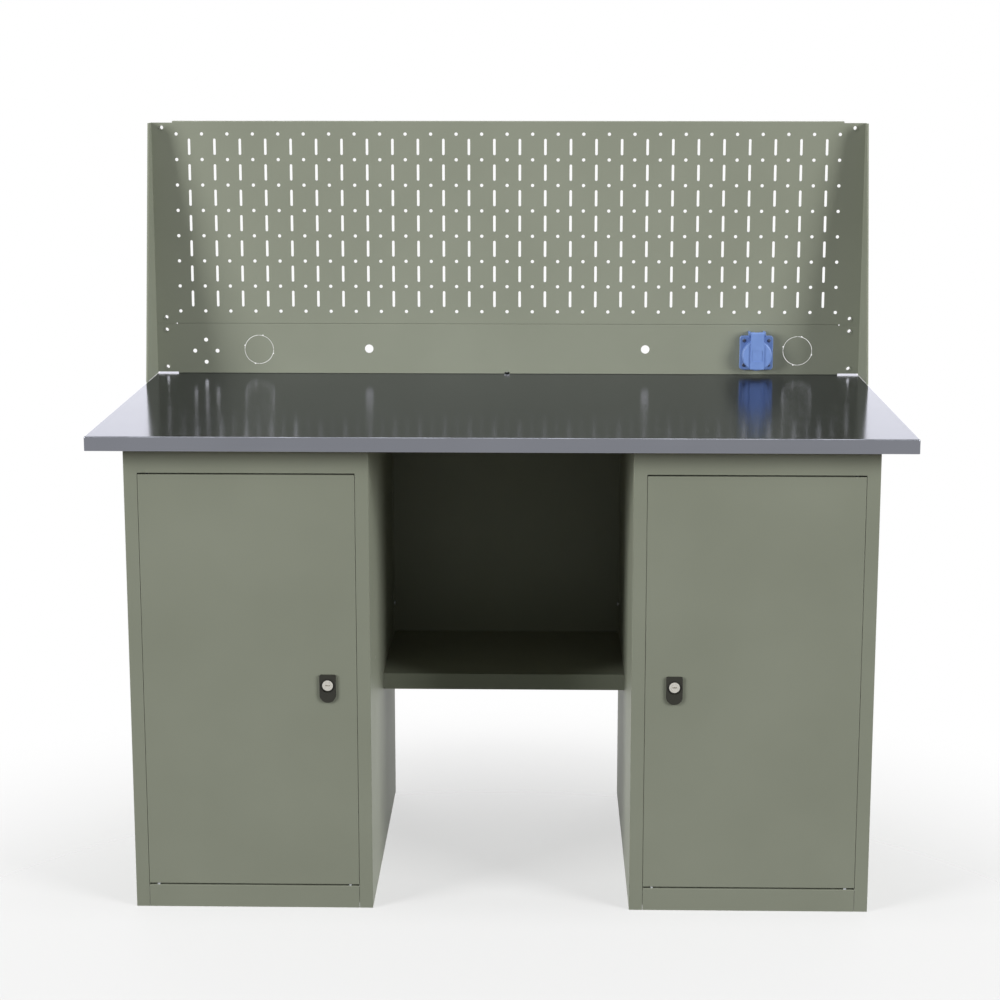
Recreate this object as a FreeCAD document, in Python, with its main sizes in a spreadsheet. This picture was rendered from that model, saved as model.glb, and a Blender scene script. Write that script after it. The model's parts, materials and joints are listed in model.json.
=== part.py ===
"""Pedestal workbench with a perforated rear screen, as separate pieces in one frame.

X runs to the right, Y to the rear and Z up, in millimetres. The origin is on the floor, under the
middle of the worktop. Two mirrored pedestals carry the worktop, a shelf and a back panel close the knee
space, and the screen stands on the worktop's rear edge between two wings.
"""
import FreeCAD, Part
import math
import os

import Sketcher
from FreeCAD import Placement, Rotation, Vector

doc = FreeCAD.newDocument("workbench")

# Driving sizes, in millimetres
SIZES = {
    # worktop
    "worktop_width": 1400,
    "worktop_depth": 700,
    "worktop_height": 850,
    "worktop_thickness": 25,
    "worktop_sheet": 1.5,
    "worktop_edge_radius": 3,
    "board_clearance": 0.3,
    # pedestal carcass
    "pedestal_width": 417,
    "pedestal_depth": 571,
    "pedestal_sheet": 1.5,
    "front_overhang": 34,
    "side_overhang": 58,
    "stile_width": 23,
    "rail_height": 44,
    "frame_return": 20,
    "frame_edge_radius": 1,
    "side_flange": 30,
    "rear_flange": 20,
    "flange_setback": 22,
    "back_sheet": 1,
    "plinth_height": 40,
    "plinth_flange": 36,
    "plinth_gap": 0.7,
    "floor_lip": 15,
    "fit_clearance": 0.1,
    "running_clearance": 0.08,
    # loose shelf
    "shelf_height": 430,
    "shelf_sheet": 1.2,
    "shelf_lip": 25,
    "shelf_setback": 45,
    "shelf_rear_gap": 4,
    "shelf_side_gap": 1,
    "shelf_pin_diameter": 6,
    "shelf_pin_length": 14,
    "shelf_pin_head": 9,
    "shelf_pin_head_height": 2,
    "shelf_pin_inset": 60,
    # door and its pivots
    "door_sheet": 1.2,
    "door_depth": 18,
    "door_gap": 0.6,
    "slit_height": 3,
    "door_edge_radius": 1,
    "pivot_inset": 16,
    "pivot_depth": 4.5,
    "pivot_diameter": 4,
    "pivot_grip": 12,
    "pivot_engagement": 7,
    "bush_diameter": 5.6,
    "bush_length": 9,
    "bush_collar": 7,
    "rest_gap": 0.2,
    "rest_diameter": 6,
    # door lock
    "lock_inset": 74,
    "lock_height": 407.5,
    "lock_plate_width": 28.6,
    "lock_plate_height": 50,
    "lock_plate_thickness": 3.5,
    "lock_plate_corner": 3,
    "lock_plate_edge_radius": 0.8,
    "lock_axis_drop": 19,
    "lock_recess_diameter": 25,
    "lock_recess_depth": 2.2,
    "barrel_diameter": 16,
    "barrel_head_diameter": 18.4,
    "barrel_head_height": 2,
    "barrel_length": 20.6,
    "lock_nut_diameter": 24,
    "lock_nut_thickness": 4,
    "plug_diameter": 12,
    "plug_tail": 0.4,
    "key_slot_width": 2,
    "key_slot_length": 8.4,
    "key_slot_depth": 5,
    "cam_length": 62,
    "cam_width": 15,
    "cam_thickness": 2,
    "cam_screw_diameter": 4,
    "cam_screw_grip": 8,
    "cam_screw_head": 9,
    "cam_screw_head_height": 2.6,
    # knee space
    "knee_shelf_height": 339,
    "knee_shelf_lip": 30,
    "knee_shelf_setback": 285,
    "knee_sheet": 1.2,
    "knee_flange": 20,
    "knee_gap": 0.2,
    "knee_back_gap": 0.5,
    "knee_shelf_edge_radius": 1,
    "knee_screw_rise": 60,
    # screws
    "screw_diameter": 4.8,
    "screw_head": 9.5,
    "screw_head_height": 2.6,
    "sheet_screw_length": 9,
    "board_screw_length": 18,
    "board_screw_inset": 80,
    # screen
    "screen_height": 500,
    "lower_panel_height": 100,
    "screen_inset": 27,
    "panel_sheet": 1.5,
    "panel_flange": 20,
    "panel_foot_flange": 26,
    "panel_edge_radius": 1.4,
    "panel_screw_pitch": 300,
    "ear_width": 41,
    "ear_drop": 3,
    "ear_seam_gap": 0.1,
    "ear_foot_gap": 2.6,
    "ear_hole_inset": 19.5,
    "ear_hole_margin": 12.5,
    "relief_diameter": 3,
    "wing_sheet": 1.5,
    "wing_flange": 35,
    "wing_foot_depth": 120,
    "wing_top_depth": 30,
    "wing_hem": 10,
    "peg_pitch": 50,
    "peg_margin": 25,
    "peg_hole_diameter": 6.5,
    "slot_width": 5,
    "slot_length": 32,
    "rivet_bore": 8,
    "rivet_diameter": 10,
    "rivet_flange": 12,
    "rivet_flange_thickness": 0.6,
    "rivet_length": 11,
    "seam_bolt_diameter": 6,
    "seam_bolt_head": 11,
    "seam_bolt_head_height": 4,
    "seam_bolt_tail": 7,
    "seam_nut_height": 5,
    "seam_bolt_setback": 12,
    "seam_bolt_pitch": 400,
    # lower panel's holes
    "cable_hole_diameter": 17,
    "cable_hole_place": 275,
    "cable_notch_width": 10,
    "cable_notch_height": 4,
    "bracket_place": 601,
    "bracket_height": 45,
    "bracket_circle": 44.7,
    "bracket_hole_diameter": 8,
    "knockout_height": 48,
    "knockout_left_place": 495,
    "knockout_right_place": 577,
    "knockout_diameter": 58,
    "knockout_slot": 0.9,
    "knockout_bridge": 1.2,
    "pierce_diameter": 2.8,
    # socket outlet
    "socket_place": 495,
    "socket_height": 45,
    "socket_flange_width": 66,
    "socket_flange_height": 68,
    "socket_flange_thickness": 6,
    "socket_flange_corner": 6,
    "socket_flange_edge_radius": 1.5,
    "gasket_thickness": 1,
    "socket_body_diameter": 56,
    "socket_body_depth": 27,
    "socket_collar_diameter": 52,
    "socket_collar_height": 5,
    "socket_recess_diameter": 44,
    "socket_recess_depth": 26,
    "socket_screw_place": 24.5,
    "socket_screw_diameter": 3.5,
    "socket_screw_head": 7,
    "socket_screw_head_height": 1.6,
    "socket_screw_length": 14,
    "carrier_thickness": 7,
    "contact_spacing": 19,
    "contact_diameter": 6.4,
    "contact_bore": 4.8,
    "contact_length": 12,
    "lid_diameter": 59,
    "lid_thickness": 12,
    "lid_wall": 2.5,
    "lid_edge_radius": 3,
    "lid_gap": 0.4,
    "lid_drop": 4,
    "lid_band_width": 27,
    "lid_band_height": 2,
    "lid_window": 22,
    "lid_window_depth": 1,
    "hinge_rise": 38,
    "hinge_setback": 5,
    "hinge_radius": 5,
    "hinge_width": 33,
    "hinge_lug_width": 3.5,
    "hinge_side_gap": 0.3,
    "hinge_spring_gap": 9,
    "lid_pin_diameter": 4,
    "spring_wire": 0.9,
    "spring_pitch": 1.2,
    "spring_diameter": 6.6,
    "overrun": 5,
}

# Counts and angles
PEG_COLUMNS = 27
PEG_ROWS = 8
PANEL_SCREWS = 5
SEAM_BOLTS = 4
BRACKET_HOLES = 4
PIERCE_HOLES = 4
PIERCE_START_DEGREES = 74
HEX_SIDES = 6
SPRING_TURNS = 6
FULL_TURN = 360
ANGLE_TOLERANCE = 1e-6
PLACE_TOLERANCE = 1e-4


class Size:
    """A length with its value and the expression that the document keeps for it."""

    def __init__(self, value, text):
        self.value = value
        self.text = text

    def __add__(self, other):
        return Size(self.value + other.value, f"({self.text} + {other.text})")

    def __sub__(self, other):
        return Size(self.value - other.value, f"({self.text} - {other.text})")

    def __neg__(self):
        return Size(-self.value, f"(0 - {self.text})")

    def __mul__(self, count):
        return Size(self.value * count, f"({self.text} * ({count}))")

    def __rmul__(self, count):
        return self * count

    def __truediv__(self, count):
        return Size(self.value / count, f"({self.text} / {count})")


class Sizes:
    """The named sizes as attributes."""


mm = Sizes()
sheet = doc.addObject("Spreadsheet::Sheet", "sizes")
for row, (name, value) in enumerate(SIZES.items(), start=1):
    sheet.set(f"A{row}", name)
    sheet.set(f"B{row}", str(value))
    sheet.setAlias(f"B{row}", name)
    setattr(mm, name, Size(value, f"sizes.{name}"))
doc.recompute()

NONE = mm.overrun - mm.overrun
TURNS = {
    "x": Rotation(Vector(0, 1, 0), 90),
    "y": Rotation(Vector(1, 0, 0), -90),
    "z": Rotation(),
}
nodes = {}


def node(piece, name):
    """Gives a finished piece its own name, which is also its file's name."""
    piece.Label = name
    nodes[name] = piece
    return piece


def bind(piece, prop, size):
    piece.setExpression(prop, size.text)


def place(piece, at):
    for axis, size in zip("xyz", at):
        bind(piece, f"Placement.Base.{axis}", size)


def block(name, x, y, z):
    """A box; x, y and z are (low, high) pairs of sizes."""
    piece = doc.addObject("Part::Box", name)
    for side, (low, high) in zip(("Length", "Width", "Height"), (x, y, z)):
        bind(piece, side, high - low)
    place(piece, [low for low, high in (x, y, z)])
    return piece


def rod(name, at, axis, diameter, length):
    """A cylinder from the point at, along +axis."""
    piece = doc.addObject("Part::Cylinder", name)
    bind(piece, "Radius", diameter / 2)
    bind(piece, "Height", length)
    piece.Placement = Placement(Vector(), TURNS[axis])
    place(piece, at)
    return piece


def hexagon(name, at, axis, across_corners, length):
    """A six-sided prism from the point at, along +axis."""
    piece = doc.addObject("Part::Prism", name)
    piece.Polygon = HEX_SIDES
    bind(piece, "Circumradius", across_corners / 2)
    bind(piece, "Height", length)
    piece.Placement = Placement(Vector(), TURNS[axis])
    place(piece, at)
    return piece


def moved(at, axis, size):
    """The point at, moved by a size along one axis."""
    return [p + size if axis == own else p for own, p in zip("xyz", at)]


def join(name, pieces):
    piece = doc.addObject("Part::MultiFuse", name)
    piece.Shapes = pieces
    piece.Refine = True
    return piece


def group(name, pieces):
    """Separate solids under one name."""
    piece = doc.addObject("Part::Compound", name)
    piece.Links = pieces
    return piece


def carve(name, base, tools):
    piece = doc.addObject("Part::Cut", name)
    piece.Base = base
    piece.Tool = tools[0] if len(tools) == 1 else group(f"{name}_tools", tools)
    piece.Refine = True
    return piece


def tube(name, at, axis, outer, bore, length):
    inner = rod(f"{name}_bore", moved(at, axis, -mm.overrun), axis, bore, length + 2 * mm.overrun)
    return carve(name, rod(f"{name}_rod", at, axis, outer, length), [inner])


def along(edge, axis):
    """True for a straight edge that runs along one axis."""
    if not isinstance(edge.Curve, Part.Line):
        return False
    return abs(abs(edge.Curve.Direction.dot(TURNS[axis].multVec(Vector(0, 0, 1)))) - 1) < ANGLE_TOLERANCE


def at_place(edge, axis, size):
    """True where the middle of the edge lies at that place on the axis."""
    return abs(getattr(edge.CenterOfMass, axis) - size.value) < PLACE_TOLERANCE


def rounded(name, base, radius, wanted):
    """Rounds the edges that the test picks."""
    doc.recompute()
    piece = doc.addObject("Part::Fillet", name)
    piece.Base = base
    edges = [i for i, edge in enumerate(base.Shape.Edges, start=1) if wanted(edge)]
    piece.Edges = [(i, radius.value, radius.value) for i in edges]
    return piece


def screw(name, seat, axis, sense, diameter, head, head_height, length):
    """A pan-head screw; its shank runs from the seat along the axis, forwards or backwards."""
    shank_start = seat if sense > 0 else moved(seat, axis, -length)
    head_start = moved(seat, axis, -head_height) if sense > 0 else seat
    shank = rod(f"{name}_shank", shank_start, axis, diameter, length)
    return join(name, [shank, rod(f"{name}_head", head_start, axis, head, head_height)])


def origin_plane(body, role):
    return next(f for f in body.Origin.OriginFeatures if f.Role == role)


def sketch_on(body, name, role, offset=NONE):
    """A sketch on one of the body's own origin planes, moved along that plane's normal."""
    sketch = body.newObject("Sketcher::SketchObject", name)
    sketch.AttachmentSupport = [(origin_plane(body, role), "")]
    sketch.MapMode = "FlatFace"
    bind(sketch, "AttachmentOffset.Base.z", offset)
    return sketch


def hold(sketch, kind, geometry, point, size):
    """Ties one point's distance from the sketch's origin to a size."""
    made = sketch.addConstraint(Sketcher.Constraint(kind, -1, 1, geometry, point, size.value))
    bind(sketch, f"Constraints[{made}]", size)


def polygon(sketch, corners):
    """A closed outline; every corner is tied to its two sizes."""
    points = [Vector(a.value, b.value, 0) for a, b in corners]
    first = sketch.GeometryCount
    for start, end in zip(points, points[1:] + points[:1]):
        sketch.addGeometry(Part.LineSegment(start, end))
    count = len(points)
    for i, (a, b) in enumerate(corners):
        following = first + (i + 1) % count
        sketch.addConstraint(Sketcher.Constraint("Coincident", first + i, 2, following, 1))
        hold(sketch, "DistanceX", first + i, 1, a)
        hold(sketch, "DistanceY", first + i, 1, b)


def rectangle(sketch, across, up):
    (left, right), (low, high) = across, up
    polygon(sketch, [(left, low), (right, low), (right, high), (left, high)])


def circle(sketch, across, up, diameter):
    shape = Part.Circle(Vector(across.value, up.value, 0), Vector(0, 0, 1), diameter.value / 2)
    made = sketch.addGeometry(shape)
    hold(sketch, "DistanceX", made, 3, across)
    hold(sketch, "DistanceY", made, 3, up)
    size = sketch.addConstraint(Sketcher.Constraint("Diameter", made, diameter.value))
    bind(sketch, f"Constraints[{size}]", diameter)


def pad(body, name, sketch, length, backwards=False, both_ways=False):
    piece = body.newObject("PartDesign::Pad", name)
    piece.Profile = sketch
    bind(piece, "Length", length)
    piece.Reversed = backwards
    piece.SideType = "Symmetric" if both_ways else "One side"
    body.Tip = piece
    return piece


def pocket(body, name, sketch, length, both_ways=False):
    """A cut that has to take material away."""
    doc.recompute()
    before = body.Shape.Volume
    piece = body.newObject("PartDesign::Pocket", name)
    piece.Profile = sketch
    bind(piece, "Length", length)
    piece.SideType = "Symmetric" if both_ways else "One side"
    body.Tip = piece
    doc.recompute()
    if body.Shape.Volume >= before:
        raise ValueError(f"{name} cuts nothing")
    return piece


def fillet(body, name, radius, wanted):
    doc.recompute()
    base = body.Tip
    edges = [f"Edge{i}" for i, edge in enumerate(base.Shape.Edges, start=1) if wanted(edge)]
    piece = body.newObject("PartDesign::Fillet", name)
    piece.Base = (base, edges)
    bind(piece, "Radius", radius)
    body.Tip = piece
    return piece


def grid(body, name, feature, sketch, columns, rows, pitch):
    """Repeats a cut to the right and upwards."""
    pattern = body.newObject("PartDesign::LinearPattern", name)
    pattern.Originals = [feature]
    pattern.Direction = (sketch, ["H_Axis"])
    pattern.Occurrences = columns
    bind(pattern, "Length", (columns - 1) * pitch)
    pattern.Direction2 = (sketch, ["V_Axis"])
    pattern.Occurrences2 = rows
    bind(pattern, "Length2", (rows - 1) * pitch)
    body.Tip = pattern
    return pattern


# Places that several pieces share
half_top = mm.worktop_width / 2
top_front = -mm.worktop_depth / 2
top_rear = mm.worktop_depth / 2
top_under = mm.worktop_height - mm.worktop_thickness
front = top_front + mm.front_overhang
rear = front + mm.pedestal_depth
knee_half = half_top - mm.side_overhang - mm.pedestal_width
opening_top = top_under - mm.rail_height
door_low = mm.plinth_height + mm.slit_height
door_high = opening_top - mm.slit_height
hole_room = 2 * mm.fit_clearance
screw_hole = mm.screw_diameter + hole_room
screen_front = top_rear - mm.screen_inset
screen_top = mm.worktop_height + mm.screen_height
seam = mm.worktop_height + mm.lower_panel_height
ear_end = half_top - mm.wing_sheet
panel_half = ear_end - mm.ear_width
ear_hole_x = ear_end - mm.ear_hole_inset
foot_screw_y = screen_front + mm.panel_foot_flange / 2


def spaced(count, pitch):
    """Places of a row that is centred on the middle."""
    return [(i - (count - 1) / 2) * pitch for i in range(count)]


# Worktop
def board_screw_seats():
    """Under the pedestals' top flanges: two screws in each flange."""
    flange_middle = mm.pedestal_sheet + mm.side_flange / 2
    rows = (front + mm.board_screw_inset, rear - mm.board_screw_inset)
    seats = []
    for side in (-1, 1):
        for distance in (flange_middle, mm.pedestal_width - flange_middle):
            seats += [[side * (knee_half + distance), y, top_under - mm.pedestal_sheet] for y in rows]
    return seats


def foot_screw_seats():
    """On the screen's foot flange."""
    places = spaced(PANEL_SCREWS, mm.panel_screw_pitch)
    return [[x, foot_screw_y, mm.worktop_height + mm.panel_sheet] for x in places]


def make_worktop():
    upright = (top_under, mm.worktop_height)
    whole = block("cover_whole", (-half_top, half_top), (top_front, top_rear), upright)
    soft = rounded("cover_soft", whole, mm.worktop_edge_radius,
                   lambda edge: along(edge, "z") or at_place(edge, "z", mm.worktop_height))
    wall = mm.worktop_sheet
    hollow = block("cover_hollow", (wall - half_top, half_top - wall), (top_front + wall, top_rear - wall),
                   (top_under - mm.overrun, mm.worktop_height - wall))
    foot_holes = [
        rod(f"foot_hole_{i}", moved(seat, "z", -mm.board_screw_length), "z", screw_hole,
            mm.board_screw_length + mm.overrun)
        for i, seat in enumerate(foot_screw_seats())
    ]
    node(carve("cover", soft, [hollow, *foot_holes]), "worktop_cover")

    inset = mm.worktop_sheet + mm.board_clearance
    plain = block("board_plain", (inset - half_top, half_top - inset), (top_front + inset, top_rear - inset),
                  (top_under, mm.worktop_height - wall))
    board_holes = [
        rod(f"board_hole_{i}", moved(seat, "z", -mm.overrun), "z", screw_hole,
            mm.board_screw_length + mm.overrun + mm.fit_clearance)
        for i, seat in enumerate(board_screw_seats())
    ]
    node(carve("board", plain, [*board_holes, *foot_holes]), "worktop_board")

    common = (mm.screw_diameter, mm.screw_head, mm.screw_head_height, mm.board_screw_length)
    lower = [screw(f"board_screw_{i}", s, "z", 1, *common) for i, s in enumerate(board_screw_seats())]
    node(group("board_screws", lower), "worktop_screws")
    upper = [screw(f"foot_screw_{i}", s, "z", -1, *common) for i, s in enumerate(foot_screw_seats())]
    node(group("foot_screws", upper), "screen_foot_screws")


# Pedestals
class Pedestal:
    """One pedestal. Distances run outwards from its inner side, so both hands use the same numbers."""

    def __init__(self, hand, side):
        self.hand = hand
        self.side = side

    def name(self, word):
        return f"{self.hand}_{word}"

    def x(self, distance):
        return self.side * (knee_half + distance)

    def span(self, near, far):
        """The (low, high) pair between two distances."""
        ends = (self.x(near), self.x(far))
        return ends if self.side > 0 else ends[::-1]

    def block(self, word, distances, y, z):
        return block(self.name(word), self.span(*distances), y, z)

    def rod_out(self, word, distance, y, z, diameter, length):
        """A rod along X that runs outwards from a distance."""
        start = self.span(distance, distance + length)[0]
        return rod(self.name(word), [start, y, z], "x", diameter, length)


opening_near = mm.stile_width
opening_far = mm.pedestal_width - mm.stile_width
pivot_distance = opening_far - mm.door_gap - mm.pivot_inset
rest_distance = opening_near + mm.door_gap + mm.pivot_inset
pivot_y = front + mm.pivot_depth
bush_hole = mm.bush_diameter + hole_room
rest_stem = mm.rest_diameter - mm.pedestal_sheet
back_face = rear - mm.pedestal_sheet - mm.back_sheet
pin_rows = (front + mm.shelf_setback + mm.shelf_pin_inset, back_face - mm.shelf_rear_gap - mm.shelf_pin_inset)
pin_height = mm.shelf_height - mm.shelf_sheet - mm.shelf_pin_diameter / 2 - mm.fit_clearance


def make_front_frame(ped):
    """Stiles and top rail in one sheet, folded inwards round the door opening."""
    skin = (front, front + mm.pedestal_sheet)
    fold = (front, front + mm.frame_return)
    sheet_in = mm.pedestal_sheet
    pieces = [
        ped.block("stile_near", (NONE, opening_near), skin, (NONE, top_under)),
        ped.block("stile_far", (opening_far, mm.pedestal_width), skin, (NONE, top_under)),
        ped.block("rail", (opening_near, opening_far), skin, (opening_top, top_under)),
        ped.block("fold_near", (opening_near - sheet_in, opening_near), fold, (NONE, opening_top)),
        ped.block("fold_far", (opening_far, opening_far + sheet_in), fold, (NONE, opening_top)),
        ped.block("fold_top", (opening_near - sheet_in, opening_far + sheet_in), fold,
                  (opening_top, opening_top + sheet_in)),
    ]
    folded = join(ped.name("frame_folded"), pieces)
    outer = (ped.x(NONE), ped.x(mm.pedestal_width))
    soft = rounded(ped.name("frame_soft"), folded, mm.frame_edge_radius,
                   lambda edge: along(edge, "z") and at_place(edge, "y", front)
                   and any(at_place(edge, "x", x) for x in outer))
    hole = rod(ped.name("frame_bush_hole"), [ped.x(pivot_distance), pivot_y, opening_top - mm.overrun], "z",
               bush_hole, mm.pedestal_sheet + 2 * mm.overrun)
    node(carve(ped.name("frame"), soft, [hole]), ped.name("front_frame"))


def knee_screw_places():
    """Rear and height of the screws that hold the knee shelf and the knee back to a pedestal."""
    shelf_z = mm.knee_shelf_height - mm.knee_shelf_lip / 2
    shelf_front = front + mm.knee_shelf_setback
    back_y = rear - mm.knee_sheet - mm.knee_flange / 2
    low_z = mm.knee_shelf_height + mm.knee_screw_rise
    high_z = top_under - mm.knee_screw_rise
    return [(shelf_front + mm.knee_flange * 2, shelf_z), (rear - mm.knee_flange * 2, shelf_z),
            (back_y, low_z), (back_y, high_z)]


def make_side(ped, word, skin, flange, screw_places):
    """A side panel with flanges at its top, its foot and its rear."""
    behind = front + mm.pedestal_sheet
    flange_y = (front + mm.flange_setback, back_face)
    sheet_in = mm.pedestal_sheet
    rear_ends = (flange[0], flange[0] + mm.rear_flange)
    if word == "outer_side":
        rear_ends = (flange[1] - mm.rear_flange, flange[1])
    pieces = [
        ped.block(f"{word}_skin", skin, (behind, rear), (NONE, top_under)),
        ped.block(f"{word}_rear", rear_ends, (rear - sheet_in, rear), (NONE, top_under)),
        ped.block(f"{word}_top", flange, flange_y, (top_under - sheet_in, top_under)),
        ped.block(f"{word}_foot", flange, flange_y, (NONE, sheet_in)),
    ]
    folded = join(ped.name(f"{word}_folded"), pieces)
    start = skin[0] - mm.overrun
    through = mm.pedestal_sheet + 2 * mm.overrun
    holes = [
        ped.rod_out(f"{word}_pin_hole_{i}", start, y, pin_height, mm.shelf_pin_diameter + hole_room, through)
        for i, y in enumerate(pin_rows)
    ]
    holes += [ped.rod_out(f"{word}_screw_hole_{i}", start, y, z, screw_hole, through)
              for i, (y, z) in enumerate(screw_places)]
    flange_x = (flange[0] + flange[1]) / 2
    for i, y in enumerate((front + mm.board_screw_inset, rear - mm.board_screw_inset)):
        at = [ped.x(flange_x), y, top_under - mm.pedestal_sheet - mm.overrun]
        holes.append(rod(ped.name(f"{word}_top_hole_{i}"), at, "z", screw_hole, through))
    node(carve(ped.name(f"{word}_cut"), folded, holes), ped.name(word))


def make_sides(ped):
    sheet_in = mm.pedestal_sheet
    make_side(ped, "inner_side", (NONE, sheet_in), (sheet_in, sheet_in + mm.side_flange), knee_screw_places())
    inside = mm.pedestal_width - sheet_in
    make_side(ped, "outer_side", (inside, mm.pedestal_width), (inside - mm.side_flange, inside), [])


def make_carcass_floor(ped):
    """Back, plinth and floor."""
    inner = (mm.pedestal_sheet + mm.fit_clearance, mm.pedestal_width - mm.pedestal_sheet - mm.fit_clearance)
    lift = mm.pedestal_sheet
    node(ped.block("back_plate", inner, (back_face, back_face + mm.back_sheet), (lift, top_under - lift)),
         ped.name("back"))

    ends = (opening_near + mm.plinth_gap, opening_far - mm.plinth_gap)
    plate = ped.block("plinth_plate", ends, (front, front + mm.pedestal_sheet), (NONE, mm.plinth_height))
    flange_low = mm.plinth_height - mm.pedestal_sheet
    flange = ped.block("plinth_top", ends, (front, front + mm.plinth_flange), (flange_low, mm.plinth_height))
    folded = join(ped.name("plinth_folded"), [plate, flange])
    soft = rounded(ped.name("plinth_soft"), folded, mm.frame_edge_radius,
                   lambda edge: along(edge, "x") and at_place(edge, "y", front)
                   and at_place(edge, "z", mm.plinth_height))
    through = mm.pedestal_sheet + 2 * mm.overrun
    holes = [
        rod(ped.name("plinth_bush_hole"), [ped.x(pivot_distance), pivot_y, flange_low - mm.overrun], "z",
            bush_hole, through),
        rod(ped.name("plinth_rest_hole"), [ped.x(rest_distance), pivot_y, flange_low - mm.overrun], "z",
            rest_stem + hole_room, through),
    ]
    node(carve(ped.name("plinth_cut"), soft, holes), ped.name("plinth"))

    floor_y = (front + mm.flange_setback, back_face)
    floor_z = (flange_low - mm.pedestal_sheet, flange_low)
    lip_z = (floor_z[0] - mm.floor_lip, flange_low)
    near = (inner[0], inner[0] + mm.pedestal_sheet)
    far = (inner[1] - mm.pedestal_sheet, inner[1])
    node(join(ped.name("floor_folded"), [
        ped.block("floor_plate", inner, floor_y, floor_z),
        ped.block("floor_lip_near", near, floor_y, lip_z),
        ped.block("floor_lip_far", far, floor_y, lip_z),
    ]), ped.name("floor"))


def make_loose_shelf(ped):
    edge = mm.pedestal_sheet + mm.shelf_side_gap
    ends = (edge, mm.pedestal_width - edge)
    y = (front + mm.shelf_setback, back_face - mm.shelf_rear_gap)
    top = (mm.shelf_height - mm.shelf_sheet, mm.shelf_height)
    lip = (mm.shelf_height - mm.shelf_lip, mm.shelf_height)
    node(join(ped.name("shelf_folded"), [
        ped.block("shelf_top", ends, y, top),
        ped.block("shelf_front_lip", ends, (y[0], y[0] + mm.shelf_sheet), lip),
        ped.block("shelf_rear_lip", ends, (y[1] - mm.shelf_sheet, y[1]), lip),
    ]), ped.name("shelf"))

    pins = []
    inside = mm.pedestal_sheet
    far_start = mm.pedestal_width - mm.shelf_pin_length
    far_head = mm.pedestal_width - mm.pedestal_sheet - mm.shelf_pin_head_height
    for i, pin_y in enumerate(pin_rows):
        for word, start, head in (("near", NONE, inside), ("far", far_start, far_head)):
            stem = ped.rod_out(f"pin_{word}_{i}", start, pin_y, pin_height, mm.shelf_pin_diameter,
                               mm.shelf_pin_length)
            collar_z = pin_height - (mm.shelf_pin_head - mm.shelf_pin_diameter) / 2
            collar = ped.rod_out(f"pin_collar_{word}_{i}", head, pin_y, collar_z, mm.shelf_pin_diameter,
                                 mm.shelf_pin_head_height)
            pins.append(join(ped.name(f"pin_whole_{word}_{i}"), [stem, collar]))
    node(group(ped.name("pins"), pins), ped.name("shelf_pins"))


# Doors
def make_door(ped):
    """A pan folded from one sheet, open at the rear."""
    body = doc.addObject("PartDesign::Body", ped.name("door_body"))
    ends = ped.span(opening_near + mm.door_gap, opening_far - mm.door_gap)
    face = sketch_on(body, ped.name("door_face"), "XZ_Plane", -front)
    rectangle(face, ends, (door_low, door_high))
    pad(body, ped.name("door_pad"), face, mm.door_depth, backwards=True)
    fillet(body, ped.name("door_soft"), mm.door_edge_radius, lambda edge: at_place(edge, "y", front))
    inside = sketch_on(body, ped.name("door_inside"), "XZ_Plane", -(front + mm.door_sheet))
    rectangle(inside, (ends[0] + mm.door_sheet, ends[1] - mm.door_sheet),
              (door_low + mm.door_sheet, door_high - mm.door_sheet))
    pocket(body, ped.name("door_pan"), inside, mm.door_depth)
    pivots = sketch_on(body, ped.name("door_pivots"), "XY_Plane", door_high + mm.overrun)
    circle(pivots, ped.x(pivot_distance), pivot_y, mm.pivot_diameter + hole_room)
    pocket(body, ped.name("door_pivot_holes"), pivots, door_high - door_low + 2 * mm.overrun)
    lock = sketch_on(body, ped.name("door_lock"), "XZ_Plane", -front)
    circle(lock, ped.x(mm.lock_inset), mm.lock_height, mm.barrel_diameter + hole_room)
    pocket(body, ped.name("door_lock_hole"), lock, 2 * mm.door_sheet, both_ways=True)
    node(body, ped.name("door"))

    x = ped.x(pivot_distance)
    low_start = mm.plinth_height - mm.pivot_engagement
    high_start = door_high - mm.pivot_grip
    pin_length = mm.pivot_engagement + mm.slit_height + mm.pivot_grip
    node(group(ped.name("pivots"), [
        rod(ped.name("pivot_low"), [x, pivot_y, low_start], "z", mm.pivot_diameter, pin_length),
        rod(ped.name("pivot_high"), [x, pivot_y, high_start], "z", mm.pivot_diameter, pin_length),
    ]), ped.name("door_pivot_pins"))

    bore = mm.pivot_diameter + 2 * mm.running_clearance
    seat = mm.plinth_height
    low_bush = [x, pivot_y, seat - mm.bush_length]
    collar_height = mm.slit_height - mm.rest_gap
    sleeve = rod(ped.name("bush_low_sleeve"), low_bush, "z", mm.bush_diameter, mm.bush_length)
    collar = rod(ped.name("bush_low_collar"), [x, pivot_y, seat], "z", mm.bush_collar, collar_height)
    drilled = rod(ped.name("bush_low_bore"), moved(low_bush, "z", -mm.overrun), "z", bore,
                  mm.bush_length + collar_height + 2 * mm.overrun)
    low = carve(ped.name("bush_low"), join(ped.name("bush_low_whole"), [sleeve, collar]), [drilled])
    high = tube(ped.name("bush_high"), [x, pivot_y, opening_top], "z", mm.bush_diameter, bore, mm.bush_length)
    node(group(ped.name("bushes"), [low, high]), ped.name("door_bushes"))

    button_x = ped.x(rest_distance)
    button = rod(ped.name("rest_head"), [button_x, pivot_y, seat], "z", mm.rest_diameter, collar_height)
    stem = rod(ped.name("rest_stem"), [button_x, pivot_y, seat - mm.bush_length], "z", rest_stem,
               mm.bush_length)
    node(join(ped.name("rest"), [button, stem]), ped.name("door_rest"))


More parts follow.
